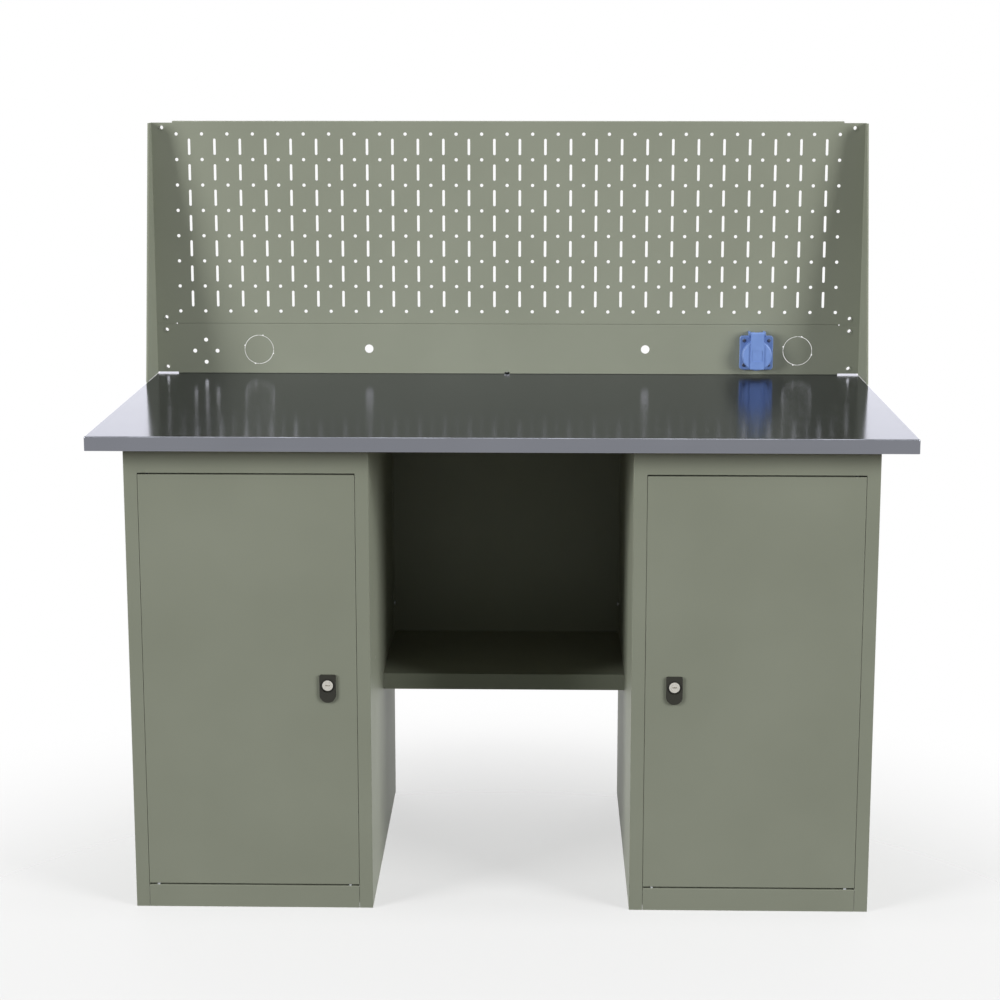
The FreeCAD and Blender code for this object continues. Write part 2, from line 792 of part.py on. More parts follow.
# Locks
def make_lock(ped):
    x = ped.x(mm.lock_inset)
    z = mm.lock_height
    plate_front = front - mm.lock_plate_thickness
    half = mm.lock_plate_width / 2
    plate_top = z + mm.lock_axis_drop
    foot_middle = plate_top - mm.lock_plate_height + half

    square = block(ped.name("plate_square"), (x - half, x + half), (plate_front, front),
                   (foot_middle, plate_top))
    soft = rounded(ped.name("plate_corners"), square, mm.lock_plate_corner,
                   lambda edge: along(edge, "y") and at_place(edge, "z", plate_top))
    foot = rod(ped.name("plate_foot"), [x, plate_front, foot_middle], "y", mm.lock_plate_width,
               mm.lock_plate_thickness)
    whole = join(ped.name("plate_whole"), [soft, foot])
    eased = rounded(ped.name("plate_eased"), whole, mm.lock_plate_edge_radius,
                    lambda edge: edge.BoundBox.YMax - plate_front.value < mm.lock_plate_edge_radius.value)
    recess = rod(ped.name("plate_recess"), [x, plate_front - mm.overrun, z], "y", mm.lock_recess_diameter,
                 mm.lock_recess_depth + mm.overrun)
    hole = rod(ped.name("plate_hole"), [x, plate_front - mm.overrun, z], "y", mm.barrel_diameter + hole_room,
               mm.lock_plate_thickness + 2 * mm.overrun)
    recessed = carve(ped.name("plate_recessed"), eased, [recess])
    node(carve(ped.name("plate"), recessed, [hole]), ped.name("lock_plate"))

    seat = plate_front + mm.lock_recess_depth
    head_front = seat - mm.barrel_head_height
    barrel_end = front + mm.barrel_length
    head = rod(ped.name("barrel_head"), [x, head_front, z], "y", mm.barrel_head_diameter,
               mm.barrel_head_height)
    stem = rod(ped.name("barrel_stem"), [x, seat, z], "y", mm.barrel_diameter, barrel_end - seat)
    bore = rod(ped.name("barrel_bore"), [x, head_front - mm.overrun, z], "y",
               mm.plug_diameter + 2 * mm.running_clearance, barrel_end - head_front + 2 * mm.overrun)
    barrel = join(ped.name("barrel_whole"), [head, stem])
    node(carve(ped.name("barrel"), barrel, [bore]), ped.name("lock_barrel"))

    inside = front + mm.door_sheet
    prism = hexagon(ped.name("lock_nut_prism"), [x, inside, z], "y", mm.lock_nut_diameter,
                    mm.lock_nut_thickness)
    nut_bore = rod(ped.name("lock_nut_bore"), [x, inside - mm.overrun, z], "y",
                   mm.barrel_diameter + hole_room, mm.lock_nut_thickness + 2 * mm.overrun)
    node(carve(ped.name("nut"), prism, [nut_bore]), ped.name("lock_nut"))

    plug_end = barrel_end + mm.plug_tail
    core = rod(ped.name("plug_core"), [x, head_front, z], "y", mm.plug_diameter, plug_end - head_front)
    slot_half = mm.key_slot_length / 2
    slot = block(ped.name("plug_slot"), (x - slot_half, x + slot_half),
                 (head_front - mm.overrun, head_front + mm.key_slot_depth),
                 (z - mm.key_slot_width / 2, z + mm.key_slot_width / 2))
    screw_room = rod(ped.name("plug_thread"), [x, plug_end - mm.cam_screw_grip, z], "y",
                     mm.cam_screw_diameter + hole_room, mm.cam_screw_grip + mm.overrun)
    node(carve(ped.name("plug"), core, [slot, screw_room]), ped.name("lock_plug"))

    cam_y = (plug_end, plug_end + mm.cam_thickness)
    cam_half = mm.cam_width / 2
    tip_z = z - mm.cam_length + cam_half
    straight = block(ped.name("cam_straight"), (x - cam_half, x + cam_half), cam_y, (tip_z, z))
    eye = rod(ped.name("cam_eye"), [x, plug_end, z], "y", mm.cam_width, mm.cam_thickness)
    tip = rod(ped.name("cam_tip"), [x, plug_end, tip_z], "y", mm.cam_width, mm.cam_thickness)
    cam_hole = rod(ped.name("cam_hole"), [x, plug_end - mm.overrun, z], "y",
                   mm.cam_screw_diameter + hole_room, mm.cam_thickness + 2 * mm.overrun)
    node(carve(ped.name("cam"), join(ped.name("cam_whole"), [straight, eye, tip]), [cam_hole]),
         ped.name("lock_cam"))
    node(screw(ped.name("cam_bolt"), [x, cam_y[1], z], "y", -1, mm.cam_screw_diameter, mm.cam_screw_head,
               mm.cam_screw_head_height, mm.cam_thickness + mm.cam_screw_grip - mm.fit_clearance),
         ped.name("lock_cam_screw"))


# Knee space
def make_knee():
    inner = knee_half - mm.knee_gap
    ends = (-inner, inner)
    sheet_in = mm.knee_sheet
    shelf_y = (front + mm.knee_shelf_setback, rear)
    top = mm.knee_shelf_height
    lip = (top - mm.knee_shelf_lip, top)
    shelf = [
        block("knee_shelf_top", ends, shelf_y, (top - sheet_in, top)),
        block("knee_shelf_front", ends, (shelf_y[0], shelf_y[0] + sheet_in), lip),
        block("knee_shelf_rear", ends, (shelf_y[1] - sheet_in, shelf_y[1]), lip),
    ]
    back_y = (rear - sheet_in, rear)
    fold_y = (rear - sheet_in - mm.knee_flange, rear)
    back_z = (top, top_under - mm.knee_back_gap)
    back = [block("knee_back_plate", ends, back_y, back_z)]
    holes, screws = [], []
    for hand, side in (("left", -1), ("right", 1)):
        edge = (inner - sheet_in, inner) if side > 0 else (-inner, sheet_in - inner)
        shelf.append(block(f"knee_shelf_{hand}", edge, shelf_y, lip))
        back.append(block(f"knee_back_{hand}", edge, fold_y, back_z))
        for i, (y, z) in enumerate(knee_screw_places()):
            seat = [side * (inner - sheet_in), y, z]
            start = -inner - mm.overrun if side < 0 else inner - sheet_in - mm.overrun
            holes.append(rod(f"knee_hole_{hand}_{i}", [start, y, z], "x", screw_hole,
                             sheet_in + 2 * mm.overrun))
            screws.append(screw(f"knee_screw_{hand}_{i}", seat, "x", side, mm.screw_diameter, mm.screw_head,
                                mm.screw_head_height, mm.sheet_screw_length))
    soft = rounded("knee_shelf_soft", join("knee_shelf_folded", shelf), mm.knee_shelf_edge_radius,
                   lambda edge: along(edge, "x") and at_place(edge, "y", shelf_y[0])
                   and at_place(edge, "z", top))
    tools = group("knee_holes", holes)
    node(carve("knee_shelf_cut", soft, [tools]), "knee_shelf")
    node(carve("knee_back_cut", join("knee_back_folded", back), [tools]), "knee_back")
    node(group("knee_screw_group", screws), "knee_screws")


# Screen
def panel_profile(body, name, low, high, foot_flange):
    """A sheet with a flange to the rear at its top and its foot."""
    thick = mm.panel_sheet
    profile = sketch_on(body, f"{name}_profile", "YZ_Plane")
    polygon(profile, [
        (screen_front, low), (screen_front + foot_flange, low), (screen_front + foot_flange, low + thick),
        (screen_front + thick, low + thick), (screen_front + thick, high - thick),
        (screen_front + mm.panel_flange, high - thick), (screen_front + mm.panel_flange, high),
        (screen_front, high),
    ])
    pad(body, f"{name}_sheet", profile, 2 * panel_half, both_ways=True)
    fillet(body, f"{name}_bends", mm.panel_edge_radius,
           lambda edge: along(edge, "x") and at_place(edge, "y", screen_front))


def add_ears(body, name, low, high, hole_heights, relief_height):
    """Flat ears beyond the flanges, with their rivet-nut holes and the reliefs where the folds end."""
    ears = sketch_on(body, f"{name}_ears", "XZ_Plane", -screen_front)
    for ends in ((-ear_end, -panel_half), (panel_half, ear_end)):
        rectangle(ears, ends, (low, high))
    pad(body, f"{name}_ear_pad", ears, mm.panel_sheet, backwards=True)
    holes = sketch_on(body, f"{name}_ear_holes", "XZ_Plane", -screen_front)
    for x in (-ear_hole_x, ear_hole_x):
        for z in hole_heights:
            circle(holes, x, z, mm.rivet_diameter + hole_room)
    for x in (-panel_half, panel_half):
        circle(holes, x, relief_height, mm.relief_diameter)
    pocket(body, f"{name}_ear_cut", holes, 4 * mm.panel_sheet, both_ways=True)


def upper_ear_heights():
    return [seam + mm.ear_hole_margin, screen_top - mm.ear_hole_margin]


def lower_ear_heights():
    return [mm.worktop_height + mm.ear_hole_margin, seam - mm.ear_hole_margin]


def seam_bolt_holes(body, name):
    """Holes for the bolts that join the two panels' flanges."""
    holes = sketch_on(body, f"{name}_seam_holes", "XY_Plane", seam)
    for x in spaced(SEAM_BOLTS, mm.seam_bolt_pitch):
        circle(holes, x, screen_front + mm.seam_bolt_setback, mm.seam_bolt_diameter + hole_room)
    pocket(body, f"{name}_seam_cut", holes, 4 * mm.panel_sheet, both_ways=True)


def make_perforated_panel():
    body = doc.addObject("PartDesign::Body", "perforated_body")
    panel_profile(body, "upper", seam, screen_top, mm.panel_flange)
    add_ears(body, "upper", seam + mm.ear_seam_gap, screen_top - mm.ear_drop, upper_ear_heights(),
             seam + mm.ear_seam_gap)
    seam_bolt_holes(body, "upper")
    first_x = (1 - PEG_COLUMNS) / 2 * mm.peg_pitch
    first_z = seam + mm.peg_margin
    peg = sketch_on(body, "peg_hole", "XZ_Plane", -screen_front)
    circle(peg, first_x, first_z, mm.peg_hole_diameter)
    peg_cut = pocket(body, "peg_cut", peg, 4 * mm.panel_sheet, both_ways=True)
    grid(body, "peg_grid", peg_cut, peg, PEG_COLUMNS, PEG_ROWS, mm.peg_pitch)

    slot = sketch_on(body, "slot_hole", "XZ_Plane", -screen_front)
    x = first_x + mm.peg_pitch / 2
    z = first_z + mm.peg_pitch / 2
    half = mm.slot_width / 2
    reach = mm.slot_length / 2 - half
    capsule(slot, x, z, half, reach)
    slot_cut = pocket(body, "slot_cut", slot, 4 * mm.panel_sheet, both_ways=True)
    grid(body, "slot_grid", slot_cut, slot, PEG_COLUMNS - 1, PEG_ROWS - 1, mm.peg_pitch)
    node(body, "perforated_panel")


def capsule(sketch, x, z, half, reach):
    """An upright slot with round ends."""
    top = Part.Circle(Vector(x.value, z.value + reach.value, 0), Vector(0, 0, 1), half.value)
    foot = Part.Circle(Vector(x.value, z.value - reach.value, 0), Vector(0, 0, 1), half.value)
    upper = sketch.addGeometry(Part.ArcOfCircle(top, 0, math.pi))
    left = sketch.addGeometry(Part.LineSegment(Vector((x - half).value, (z + reach).value, 0),
                                               Vector((x - half).value, (z - reach).value, 0)))
    lower = sketch.addGeometry(Part.ArcOfCircle(foot, math.pi, 2 * math.pi))
    right = sketch.addGeometry(Part.LineSegment(Vector((x + half).value, (z - reach).value, 0),
                                                Vector((x + half).value, (z + reach).value, 0)))
    for first, second in ((upper, left), (left, lower), (lower, right), (right, upper)):
        sketch.addConstraint(Sketcher.Constraint("Tangent", first, 2, second, 1))
    for arc, height in ((upper, z + reach), (lower, z - reach)):
        hold(sketch, "DistanceX", arc, 3, x)
        hold(sketch, "DistanceY", arc, 3, height)
    size = sketch.addConstraint(Sketcher.Constraint("Radius", upper, half.value))
    bind(sketch, f"Constraints[{size}]", half)


def on_circle(x, z, diameter, count, start_degrees):
    """Places round a circle, the first at the start angle."""
    places = []
    for i in range(count):
        turn = Rotation(Vector(0, 0, 1), start_degrees + i * FULL_TURN / count).multVec(Vector(1, 0, 0))
        places.append((x + turn.x * diameter / 2, z + turn.y * diameter / 2))
    return places


def knockout_cut(name, x, z):
    """A ring cut right through, apart from four bridges that hold the disc in it."""
    start = screen_front - mm.overrun
    length = mm.panel_sheet + 2 * mm.overrun
    ring = tube(name, [x, start, z], "y", mm.knockout_diameter, mm.knockout_diameter - 2 * mm.knockout_slot,
                length)
    half = mm.knockout_bridge / 2
    reach = mm.knockout_diameter / 2 + mm.overrun
    deep = (start - mm.overrun, start + length + mm.overrun)
    across = block(f"{name}_bridges_across", (x - reach, x + reach), deep, (z - half, z + half))
    upright = block(f"{name}_bridges_upright", (x - half, x + half), deep, (z - reach, z + reach))
    return carve(f"{name}_arcs", ring, [across, upright])


def make_socket_panel():
    """The lower panel, with its knock-outs, cable holes, bracket holes and the socket's cut-out."""
    body = doc.addObject("PartDesign::Body", "socket_panel_body")
    base = mm.worktop_height
    panel_profile(body, "lower", base, seam, mm.panel_foot_flange)
    add_ears(body, "lower", base + mm.ear_foot_gap, seam - mm.ear_seam_gap, lower_ear_heights(),
             seam - mm.ear_seam_gap)
    seam_bolt_holes(body, "lower")
    knockout_z = base + mm.knockout_height
    knockouts = (-mm.knockout_left_place, mm.knockout_right_place)
    holes = sketch_on(body, "strip_holes", "XZ_Plane", -screen_front)
    for x in (-mm.cable_hole_place, mm.cable_hole_place):
        circle(holes, x, base + mm.lower_panel_height / 2, mm.cable_hole_diameter)
    for x, z in on_circle(-mm.bracket_place, base + mm.bracket_height, mm.bracket_circle, BRACKET_HOLES, 0):
        circle(holes, x, z, mm.bracket_hole_diameter)
    circle(holes, mm.socket_place, base + mm.socket_height, mm.socket_body_diameter + 2 * mm.panel_sheet)
    for place_x in knockouts:
        ring = mm.knockout_diameter + mm.knockout_slot
        for x, z in on_circle(place_x, knockout_z, ring, PIERCE_HOLES, PIERCE_START_DEGREES):
            circle(holes, x, z, mm.pierce_diameter)
    pocket(body, "strip_cut", holes, 4 * mm.panel_sheet, both_ways=True)

    screws = sketch_on(body, "socket_screw_holes", "XZ_Plane", -screen_front)
    for x, z in socket_screw_places():
        circle(screws, x, z, mm.socket_screw_diameter + hole_room)
    pocket(body, "socket_screw_cut", screws, 4 * mm.panel_sheet, both_ways=True)

    foot = sketch_on(body, "foot_holes", "XY_Plane", base)
    for x in spaced(PANEL_SCREWS, mm.panel_screw_pitch):
        circle(foot, x, foot_screw_y, screw_hole)
    pocket(body, "foot_cut", foot, 4 * mm.panel_sheet, both_ways=True)

    notch = sketch_on(body, "cable_notch", "XZ_Plane", -screen_front)
    rectangle(notch, (-mm.cable_notch_width / 2, mm.cable_notch_width / 2),
              (base - mm.overrun, base + mm.cable_notch_height))
    pocket(body, "cable_notch_cut", notch, mm.panel_flange / 2)
    rings = [knockout_cut(f"knockout_{i}", x, knockout_z) for i, x in enumerate(knockouts)]
    node(carve("lower_panel_cut", body, rings), "socket_panel")


def make_wing(hand, side):
    """A tapering end plate with a folded front edge, and a flange behind the panels' ears."""
    body = doc.addObject("PartDesign::Body", f"{hand}_wing_body")
    low, high = mm.worktop_height, screen_top - mm.ear_drop
    rear_face = screen_front + mm.panel_sheet + mm.wing_sheet
    foot_y = screen_front - mm.wing_foot_depth
    top_y = screen_front - mm.wing_top_depth
    outer = -half_top if side < 0 else ear_end
    plate = sketch_on(body, f"{hand}_wing_outline", "YZ_Plane", outer)
    polygon(plate, [(foot_y, low), (rear_face, low), (rear_face, high), (top_y, high)])
    pad(body, f"{hand}_wing_plate", plate, mm.wing_sheet)
    hem_low = -ear_end if side < 0 else ear_end - mm.wing_sheet
    hem = sketch_on(body, f"{hand}_hem_outline", "YZ_Plane", hem_low)
    polygon(hem, [(foot_y, low), (foot_y + mm.wing_hem, low), (top_y + mm.wing_hem, high), (top_y, high)])
    pad(body, f"{hand}_hem", hem, mm.wing_sheet)
    flange = sketch_on(body, f"{hand}_flange_outline", "XZ_Plane", -(screen_front + mm.panel_sheet))
    inner = ear_end - mm.wing_flange
    rectangle(flange, (inner, ear_end) if side > 0 else (-ear_end, -inner), (low + mm.ear_foot_gap, high))
    pad(body, f"{hand}_flange", flange, mm.wing_sheet, backwards=True)
    holes = sketch_on(body, f"{hand}_wing_holes", "XZ_Plane", -(screen_front + mm.panel_sheet))
    for z in lower_ear_heights() + upper_ear_heights():
        circle(holes, side * ear_hole_x, z, mm.rivet_diameter + hole_room)
    pocket(body, f"{hand}_wing_cut", holes, 4 * mm.wing_sheet, both_ways=True)
    node(body, f"{hand}_wing")


def make_screen_fixings():
    """Open rivet nuts through ear and flange, and the bolts behind the seam."""
    nuts = []
    for hand, side in (("left", -1), ("right", 1)):
        for i, z in enumerate(lower_ear_heights() + upper_ear_heights()):
            x = side * ear_hole_x
            head_y = screen_front - mm.rivet_flange_thickness
            name = f"rivet_{hand}_{i}"
            head = rod(f"{name}_head", [x, head_y, z], "y", mm.rivet_flange, mm.rivet_flange_thickness)
            stem = rod(f"{name}_stem", [x, screen_front, z], "y", mm.rivet_diameter, mm.rivet_length)
            bore = rod(f"{name}_bore", [x, head_y - mm.overrun, z], "y", mm.rivet_bore,
                       mm.rivet_length + 2 * mm.overrun)
            nuts.append(carve(name, join(f"{name}_whole", [head, stem]), [bore]))
    node(group("rivet_group", nuts), "ear_rivet_nuts")

    bolts, bolt_nuts = [], []
    bolt_y = screen_front + mm.seam_bolt_setback
    for i, x in enumerate(spaced(SEAM_BOLTS, mm.seam_bolt_pitch)):
        seat = [x, bolt_y, seam + mm.panel_sheet]
        under = seam - mm.panel_sheet
        head = hexagon(f"seam_head_{i}", seat, "z", mm.seam_bolt_head, mm.seam_bolt_head_height)
        shank_length = 2 * mm.panel_sheet + mm.seam_bolt_tail
        shank = rod(f"seam_shank_{i}", moved(seat, "z", -shank_length), "z", mm.seam_bolt_diameter,
                    shank_length)
        bolts.append(join(f"seam_bolt_{i}", [head, shank]))
        nut_at = [x, bolt_y, under - mm.seam_nut_height]
        prism = hexagon(f"seam_nut_prism_{i}", nut_at, "z", mm.seam_bolt_head, mm.seam_nut_height)
        bore = rod(f"seam_nut_bore_{i}", moved(nut_at, "z", -mm.overrun), "z",
                   mm.seam_bolt_diameter + hole_room, mm.seam_nut_height + 2 * mm.overrun)
        bolt_nuts.append(carve(f"seam_nut_{i}", prism, [bore]))
    node(group("seam_bolt_group", bolts), "seam_bolts")
    node(group("seam_nut_group", bolt_nuts), "seam_nuts")


# Socket outlet
socket_z = mm.worktop_height + mm.socket_height
gasket_front = screen_front - mm.gasket_thickness
flange_front = gasket_front - mm.socket_flange_thickness
collar_front = flange_front - mm.socket_collar_height
lid_rear = collar_front - mm.lid_gap
lid_front = lid_rear - mm.lid_thickness
hinge_y = lid_rear - mm.hinge_setback
hinge_z = socket_z + mm.hinge_rise
lid_z = socket_z - mm.lid_drop


def socket_screw_places():
    reach = mm.socket_screw_place
    z = mm.worktop_height + mm.socket_height
    return [(mm.socket_place + i * reach, z + k * reach) for i in (-1, 1) for k in (-1, 1)]


def socket_plate(name, y):
    """The flange's outline with round corners."""
    half_x = mm.socket_flange_width / 2
    half_z = mm.socket_flange_height / 2
    plain = block(f"{name}_plain", (mm.socket_place - half_x, mm.socket_place + half_x), y,
                  (socket_z - half_z, socket_z + half_z))
    return rounded(f"{name}_corners", plain, mm.socket_flange_corner, lambda edge: along(edge, "y"))


def make_socket():
    x = mm.socket_place
    over = mm.overrun
    hole_start = flange_front - over
    hole_length = mm.socket_flange_thickness + mm.gasket_thickness + 2 * over
    screw_holes = [
        rod(f"socket_hole_{i}", [sx, hole_start, sz], "y", mm.socket_screw_diameter + hole_room, hole_length)
        for i, (sx, sz) in enumerate(socket_screw_places())
    ]
    opening = rod("gasket_opening", [x, gasket_front - over, socket_z], "y",
                  mm.socket_body_diameter + hole_room, mm.gasket_thickness + 2 * over)
    node(carve("gasket", socket_plate("gasket", (gasket_front, screen_front)), [opening, *screw_holes]),
         "socket_gasket")

    plate = socket_plate("flange", (flange_front, gasket_front))
    soft = rounded("flange_soft", plate, mm.socket_flange_edge_radius,
                   lambda edge: at_place(edge, "y", flange_front))
    collar = rod("socket_collar", [x, collar_front, socket_z], "y", mm.socket_collar_diameter,
                 gasket_front - collar_front)
    can = rod("socket_can", [x, gasket_front, socket_z], "y", mm.socket_body_diameter, mm.socket_body_depth)
    lugs = []
    lug_low = socket_z + mm.socket_flange_height / 2 - 2 * mm.socket_flange_edge_radius
    half = mm.hinge_width / 2
    for i, ends in enumerate(((-half, mm.hinge_lug_width - half), (half - mm.hinge_lug_width, half))):
        lug_x = (x + ends[0], x + ends[1])
        lug_y = (hinge_y, gasket_front)
        lugs.append(block(f"lug_{i}", lug_x, lug_y, (lug_low, hinge_z + mm.hinge_radius)))
        lugs.append(rod(f"lug_eye_{i}", [lug_x[0], hinge_y, hinge_z], "x", 2 * mm.hinge_radius,
                        mm.hinge_lug_width))
    whole = join("socket_whole", [soft, collar, can, *lugs])
    recess = rod("socket_recess", [x, collar_front - over, socket_z], "y", mm.socket_recess_diameter,
                 mm.socket_recess_depth + over)
    pin_hole = rod("lug_bore", [x - half - over, hinge_y, hinge_z], "x", mm.lid_pin_diameter + hole_room,
                   mm.hinge_width + 2 * over)
    contact_y = collar_front + mm.socket_recess_depth - mm.carrier_thickness
    contact_x = (x - mm.contact_spacing / 2, x + mm.contact_spacing / 2)
    contact_holes = [
        rod(f"contact_hole_{i}", [cx, contact_y - over, socket_z], "y", mm.contact_diameter + hole_room,
            mm.contact_length + over + mm.fit_clearance)
        for i, cx in enumerate(contact_x)
    ]
    hollowed = carve("socket_hollowed", whole, [recess, pin_hole, *screw_holes])
    node(carve("socket_drilled", hollowed, contact_holes), "socket_body")
    disc = rod("carrier_disc", [x, contact_y, socket_z], "y", mm.socket_recess_diameter - hole_room,
               mm.carrier_thickness)
    node(carve("carrier", disc, contact_holes), "socket_carrier")
    node(group("contacts", [
        tube(f"contact_{i}", [cx, contact_y, socket_z], "y", mm.contact_diameter, mm.contact_bore,
             mm.contact_length)
        for i, cx in enumerate(contact_x)
    ]), "socket_contacts")
    node(group("socket_screw_group", [
        screw(f"socket_screw_{i}", [sx, flange_front, sz], "y", 1, mm.socket_screw_diameter,
              mm.socket_screw_head, mm.socket_screw_head_height, mm.socket_screw_length)
        for i, (sx, sz) in enumerate(socket_screw_places())
    ]), "socket_screws")


def make_socket_lid():
    x = mm.socket_place
    over = mm.overrun
    disc = rod("lid_disc", [x, lid_front, lid_z], "y", mm.lid_diameter, mm.lid_thickness)
    soft = rounded("lid_soft", disc, mm.lid_edge_radius, lambda edge: at_place(edge, "y", lid_front))
    hollow = rod("lid_hollow", [x, lid_front + mm.lid_wall, lid_z], "y", mm.lid_diameter - 2 * mm.lid_wall,
                 mm.lid_thickness)
    cup = carve("lid_cup", soft, [hollow])
    band_half = mm.lid_band_width / 2
    band_front = lid_front - mm.lid_band_height
    band_low = lid_z - mm.lid_diameter / 2 + mm.lid_edge_radius
    knuckle_low = lid_z + mm.lid_diameter / 2 - 2 * mm.lid_edge_radius
    band = block("lid_band", (x - band_half, x + band_half), (band_front, lid_front + mm.lid_wall),
                 (band_low, knuckle_low))
    reach = mm.hinge_width / 2 - mm.hinge_lug_width - mm.hinge_side_gap
    arm_top = hinge_z + mm.hinge_radius
    arm_block = block("lid_arm", (x - reach, x + reach), (band_front, hinge_y), (knuckle_low, arm_top))
    arm = rounded("lid_arm_soft", arm_block, mm.lid_edge_radius,
                  lambda edge: at_place(edge, "y", band_front) and at_place(edge, "z", arm_top))
    nose = rod("lid_nose", [x - reach, hinge_y, hinge_z], "x", 2 * mm.hinge_radius, 2 * reach)
    whole = join("lid_whole", [cup, band, arm, nose])
    window_half = mm.lid_window / 2
    window = block("lid_window", (x - window_half, x + window_half),
                   (band_front - over, band_front + mm.lid_window_depth),
                   (lid_z - window_half, lid_z + window_half))
    bore = rod("lid_bore", [x - reach - over, hinge_y, hinge_z], "x",
               mm.lid_pin_diameter + 2 * mm.running_clearance, 2 * reach + 2 * over)
    gap_half = mm.hinge_spring_gap / 2
    gap = block("lid_spring_room", (x - gap_half, x + gap_half),
                (hinge_y - mm.hinge_radius, hinge_y + mm.hinge_radius + over),
                (hinge_z - mm.hinge_radius, hinge_z + mm.hinge_radius + over))
    node(carve("lid_cut", carve("lid_bored", whole, [bore, window]), [gap]), "socket_lid")

    half = mm.hinge_width / 2
    pin = rod("lid_pin", [x - half, hinge_y, hinge_z], "x", mm.lid_pin_diameter, mm.hinge_width)
    node(pin, "socket_lid_pin")

    length = SPRING_TURNS * mm.spring_pitch
    helix = doc.addObject("Part::Helix", "spring_path")
    bind(helix, "Pitch", mm.spring_pitch)
    bind(helix, "Height", length)
    bind(helix, "Radius", mm.spring_diameter / 2)
    wire = doc.addObject("Part::Circle", "spring_section")
    bind(wire, "Radius", mm.spring_wire / 2)
    wire.Placement = Placement(Vector(), Rotation(Vector(1, 0, 0), 90))
    bind(wire, "Placement.Base.x", mm.spring_diameter / 2)
    coil = doc.addObject("Part::Sweep", "spring_coil")
    coil.Sections = [wire]
    coil.Spine = (helix, ["Edge1"])
    coil.Solid = True
    coil.Frenet = True
    doc.recompute()
    coil.Placement = Placement(Vector(), TURNS["x"])
    place(coil, [x - length / 2, hinge_y, hinge_z])
    node(coil, "socket_lid_spring")


def finish():
    """Checks every object, then writes one file for each piece."""
    doc.recompute()
    faults = [o.Name for o in doc.Objects if "Invalid" in o.State or "Error" in o.State]
    for name, piece in nodes.items():
        shape = piece.Shape
        if shape.isNull() or not shape.isValid() or not shape.Solids:
            faults.append(name)
    if faults:
        raise ValueError(f"faulty objects: {faults}")
    os.makedirs("parts", exist_ok=True)
    for name, piece in nodes.items():
        piece.Shape.exportStep(f"parts/{name}.step")
        print(name, len(piece.Shape.Solids), "solids", round(piece.Shape.Volume), "cubic mm")
    print(len(nodes), "pieces")


make_worktop()
for hand, side in (("left", -1), ("right", 1)):
    pedestal = Pedestal(hand, side)
    make_front_frame(pedestal)
    make_sides(pedestal)
    make_carcass_floor(pedestal)
    make_loose_shelf(pedestal)
    make_door(pedestal)
    make_lock(pedestal)
make_knee()
make_perforated_panel()
make_socket_panel()
for hand, side in (("left", -1), ("right", 1)):
    make_wing(hand, side)
make_screen_fixings()
make_socket()
make_socket_lid()
finish()
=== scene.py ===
# %% [markdown]
# A steel workbench on two pedestals, with a perforated screen behind it. The solids come from the
# CAD frame, so this lesson is about finishes, small hardware and light. We load the frame first.

# %% Load the frame
import json
import math

import bmesh
import bpy
from mathutils import Euler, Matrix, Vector

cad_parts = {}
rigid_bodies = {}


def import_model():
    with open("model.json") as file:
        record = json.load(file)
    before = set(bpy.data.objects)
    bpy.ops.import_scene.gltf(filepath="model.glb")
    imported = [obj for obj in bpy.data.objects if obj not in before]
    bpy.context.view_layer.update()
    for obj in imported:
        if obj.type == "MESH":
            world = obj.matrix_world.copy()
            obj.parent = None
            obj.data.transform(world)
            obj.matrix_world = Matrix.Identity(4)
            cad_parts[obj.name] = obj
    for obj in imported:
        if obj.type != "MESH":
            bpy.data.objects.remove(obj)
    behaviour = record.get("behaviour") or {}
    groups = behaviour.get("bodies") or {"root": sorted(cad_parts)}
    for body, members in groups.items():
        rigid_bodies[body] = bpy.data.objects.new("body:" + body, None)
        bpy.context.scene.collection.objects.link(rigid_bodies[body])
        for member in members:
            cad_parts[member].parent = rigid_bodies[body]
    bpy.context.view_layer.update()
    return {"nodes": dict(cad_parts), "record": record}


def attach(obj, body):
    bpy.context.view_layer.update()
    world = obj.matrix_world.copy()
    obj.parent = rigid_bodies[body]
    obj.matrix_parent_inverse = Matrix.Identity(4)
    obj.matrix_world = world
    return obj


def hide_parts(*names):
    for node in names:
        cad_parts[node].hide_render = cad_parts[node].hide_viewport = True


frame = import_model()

# %% [markdown]
# Every material is a small node tree. One function adds a node, sets it and links it, and one
# function turns a colour picked in sRGB into the linear light that shaders work in. Pattern sizes
# are written in millimetres: a noise with scale s has features about 1/s metres across.

# %% Helpers for node trees
MM = 0.001


def linear(code):
    """An sRGB hex colour as linear red, green, blue and alpha."""
    parts = [int(code[i:i + 2], 16) / 255 for i in (1, 3, 5)]
    return [p / 12.92 if p <= 0.04045 else ((p + 0.055) / 1.055) ** 2.4 for p in parts] + [1.0]


def add(tree, kind, links=None, stops=(), **settings):
    """Adds a node with its settings.

    Links map an input to another node's output or to a plain value. Stops are the places and hex
    colours of a colour ramp.
    """
    node = tree.nodes.new(kind)
    for name, value in settings.items():
        setattr(node, name, value)
    for socket, source in (links or {}).items():
        if isinstance(source, bpy.types.NodeSocket):
            tree.links.new(source, node.inputs[socket])
        else:
            node.inputs[socket].default_value = source
    for i, (place, code) in enumerate(stops):
        elements = node.color_ramp.elements
        element = elements[i] if i < len(elements) else elements.new(place)
        element.position, element.color = place, linear(code)
    return node


def new_material(name):
    """An empty material, its node tree and the object's own coordinates."""
    material = bpy.data.materials.new(name)
    material.use_nodes = True
    tree = material.node_tree
    tree.nodes.clear()
    place = add(tree, "ShaderNodeTexCoord").outputs["Object"]
    return material, tree, place


def per_metre(millimetres):
    """The noise scale whose features are about that size."""
    return 1 / (millimetres * MM)


print("a pattern of 2 mm has the noise scale", per_metre(2))

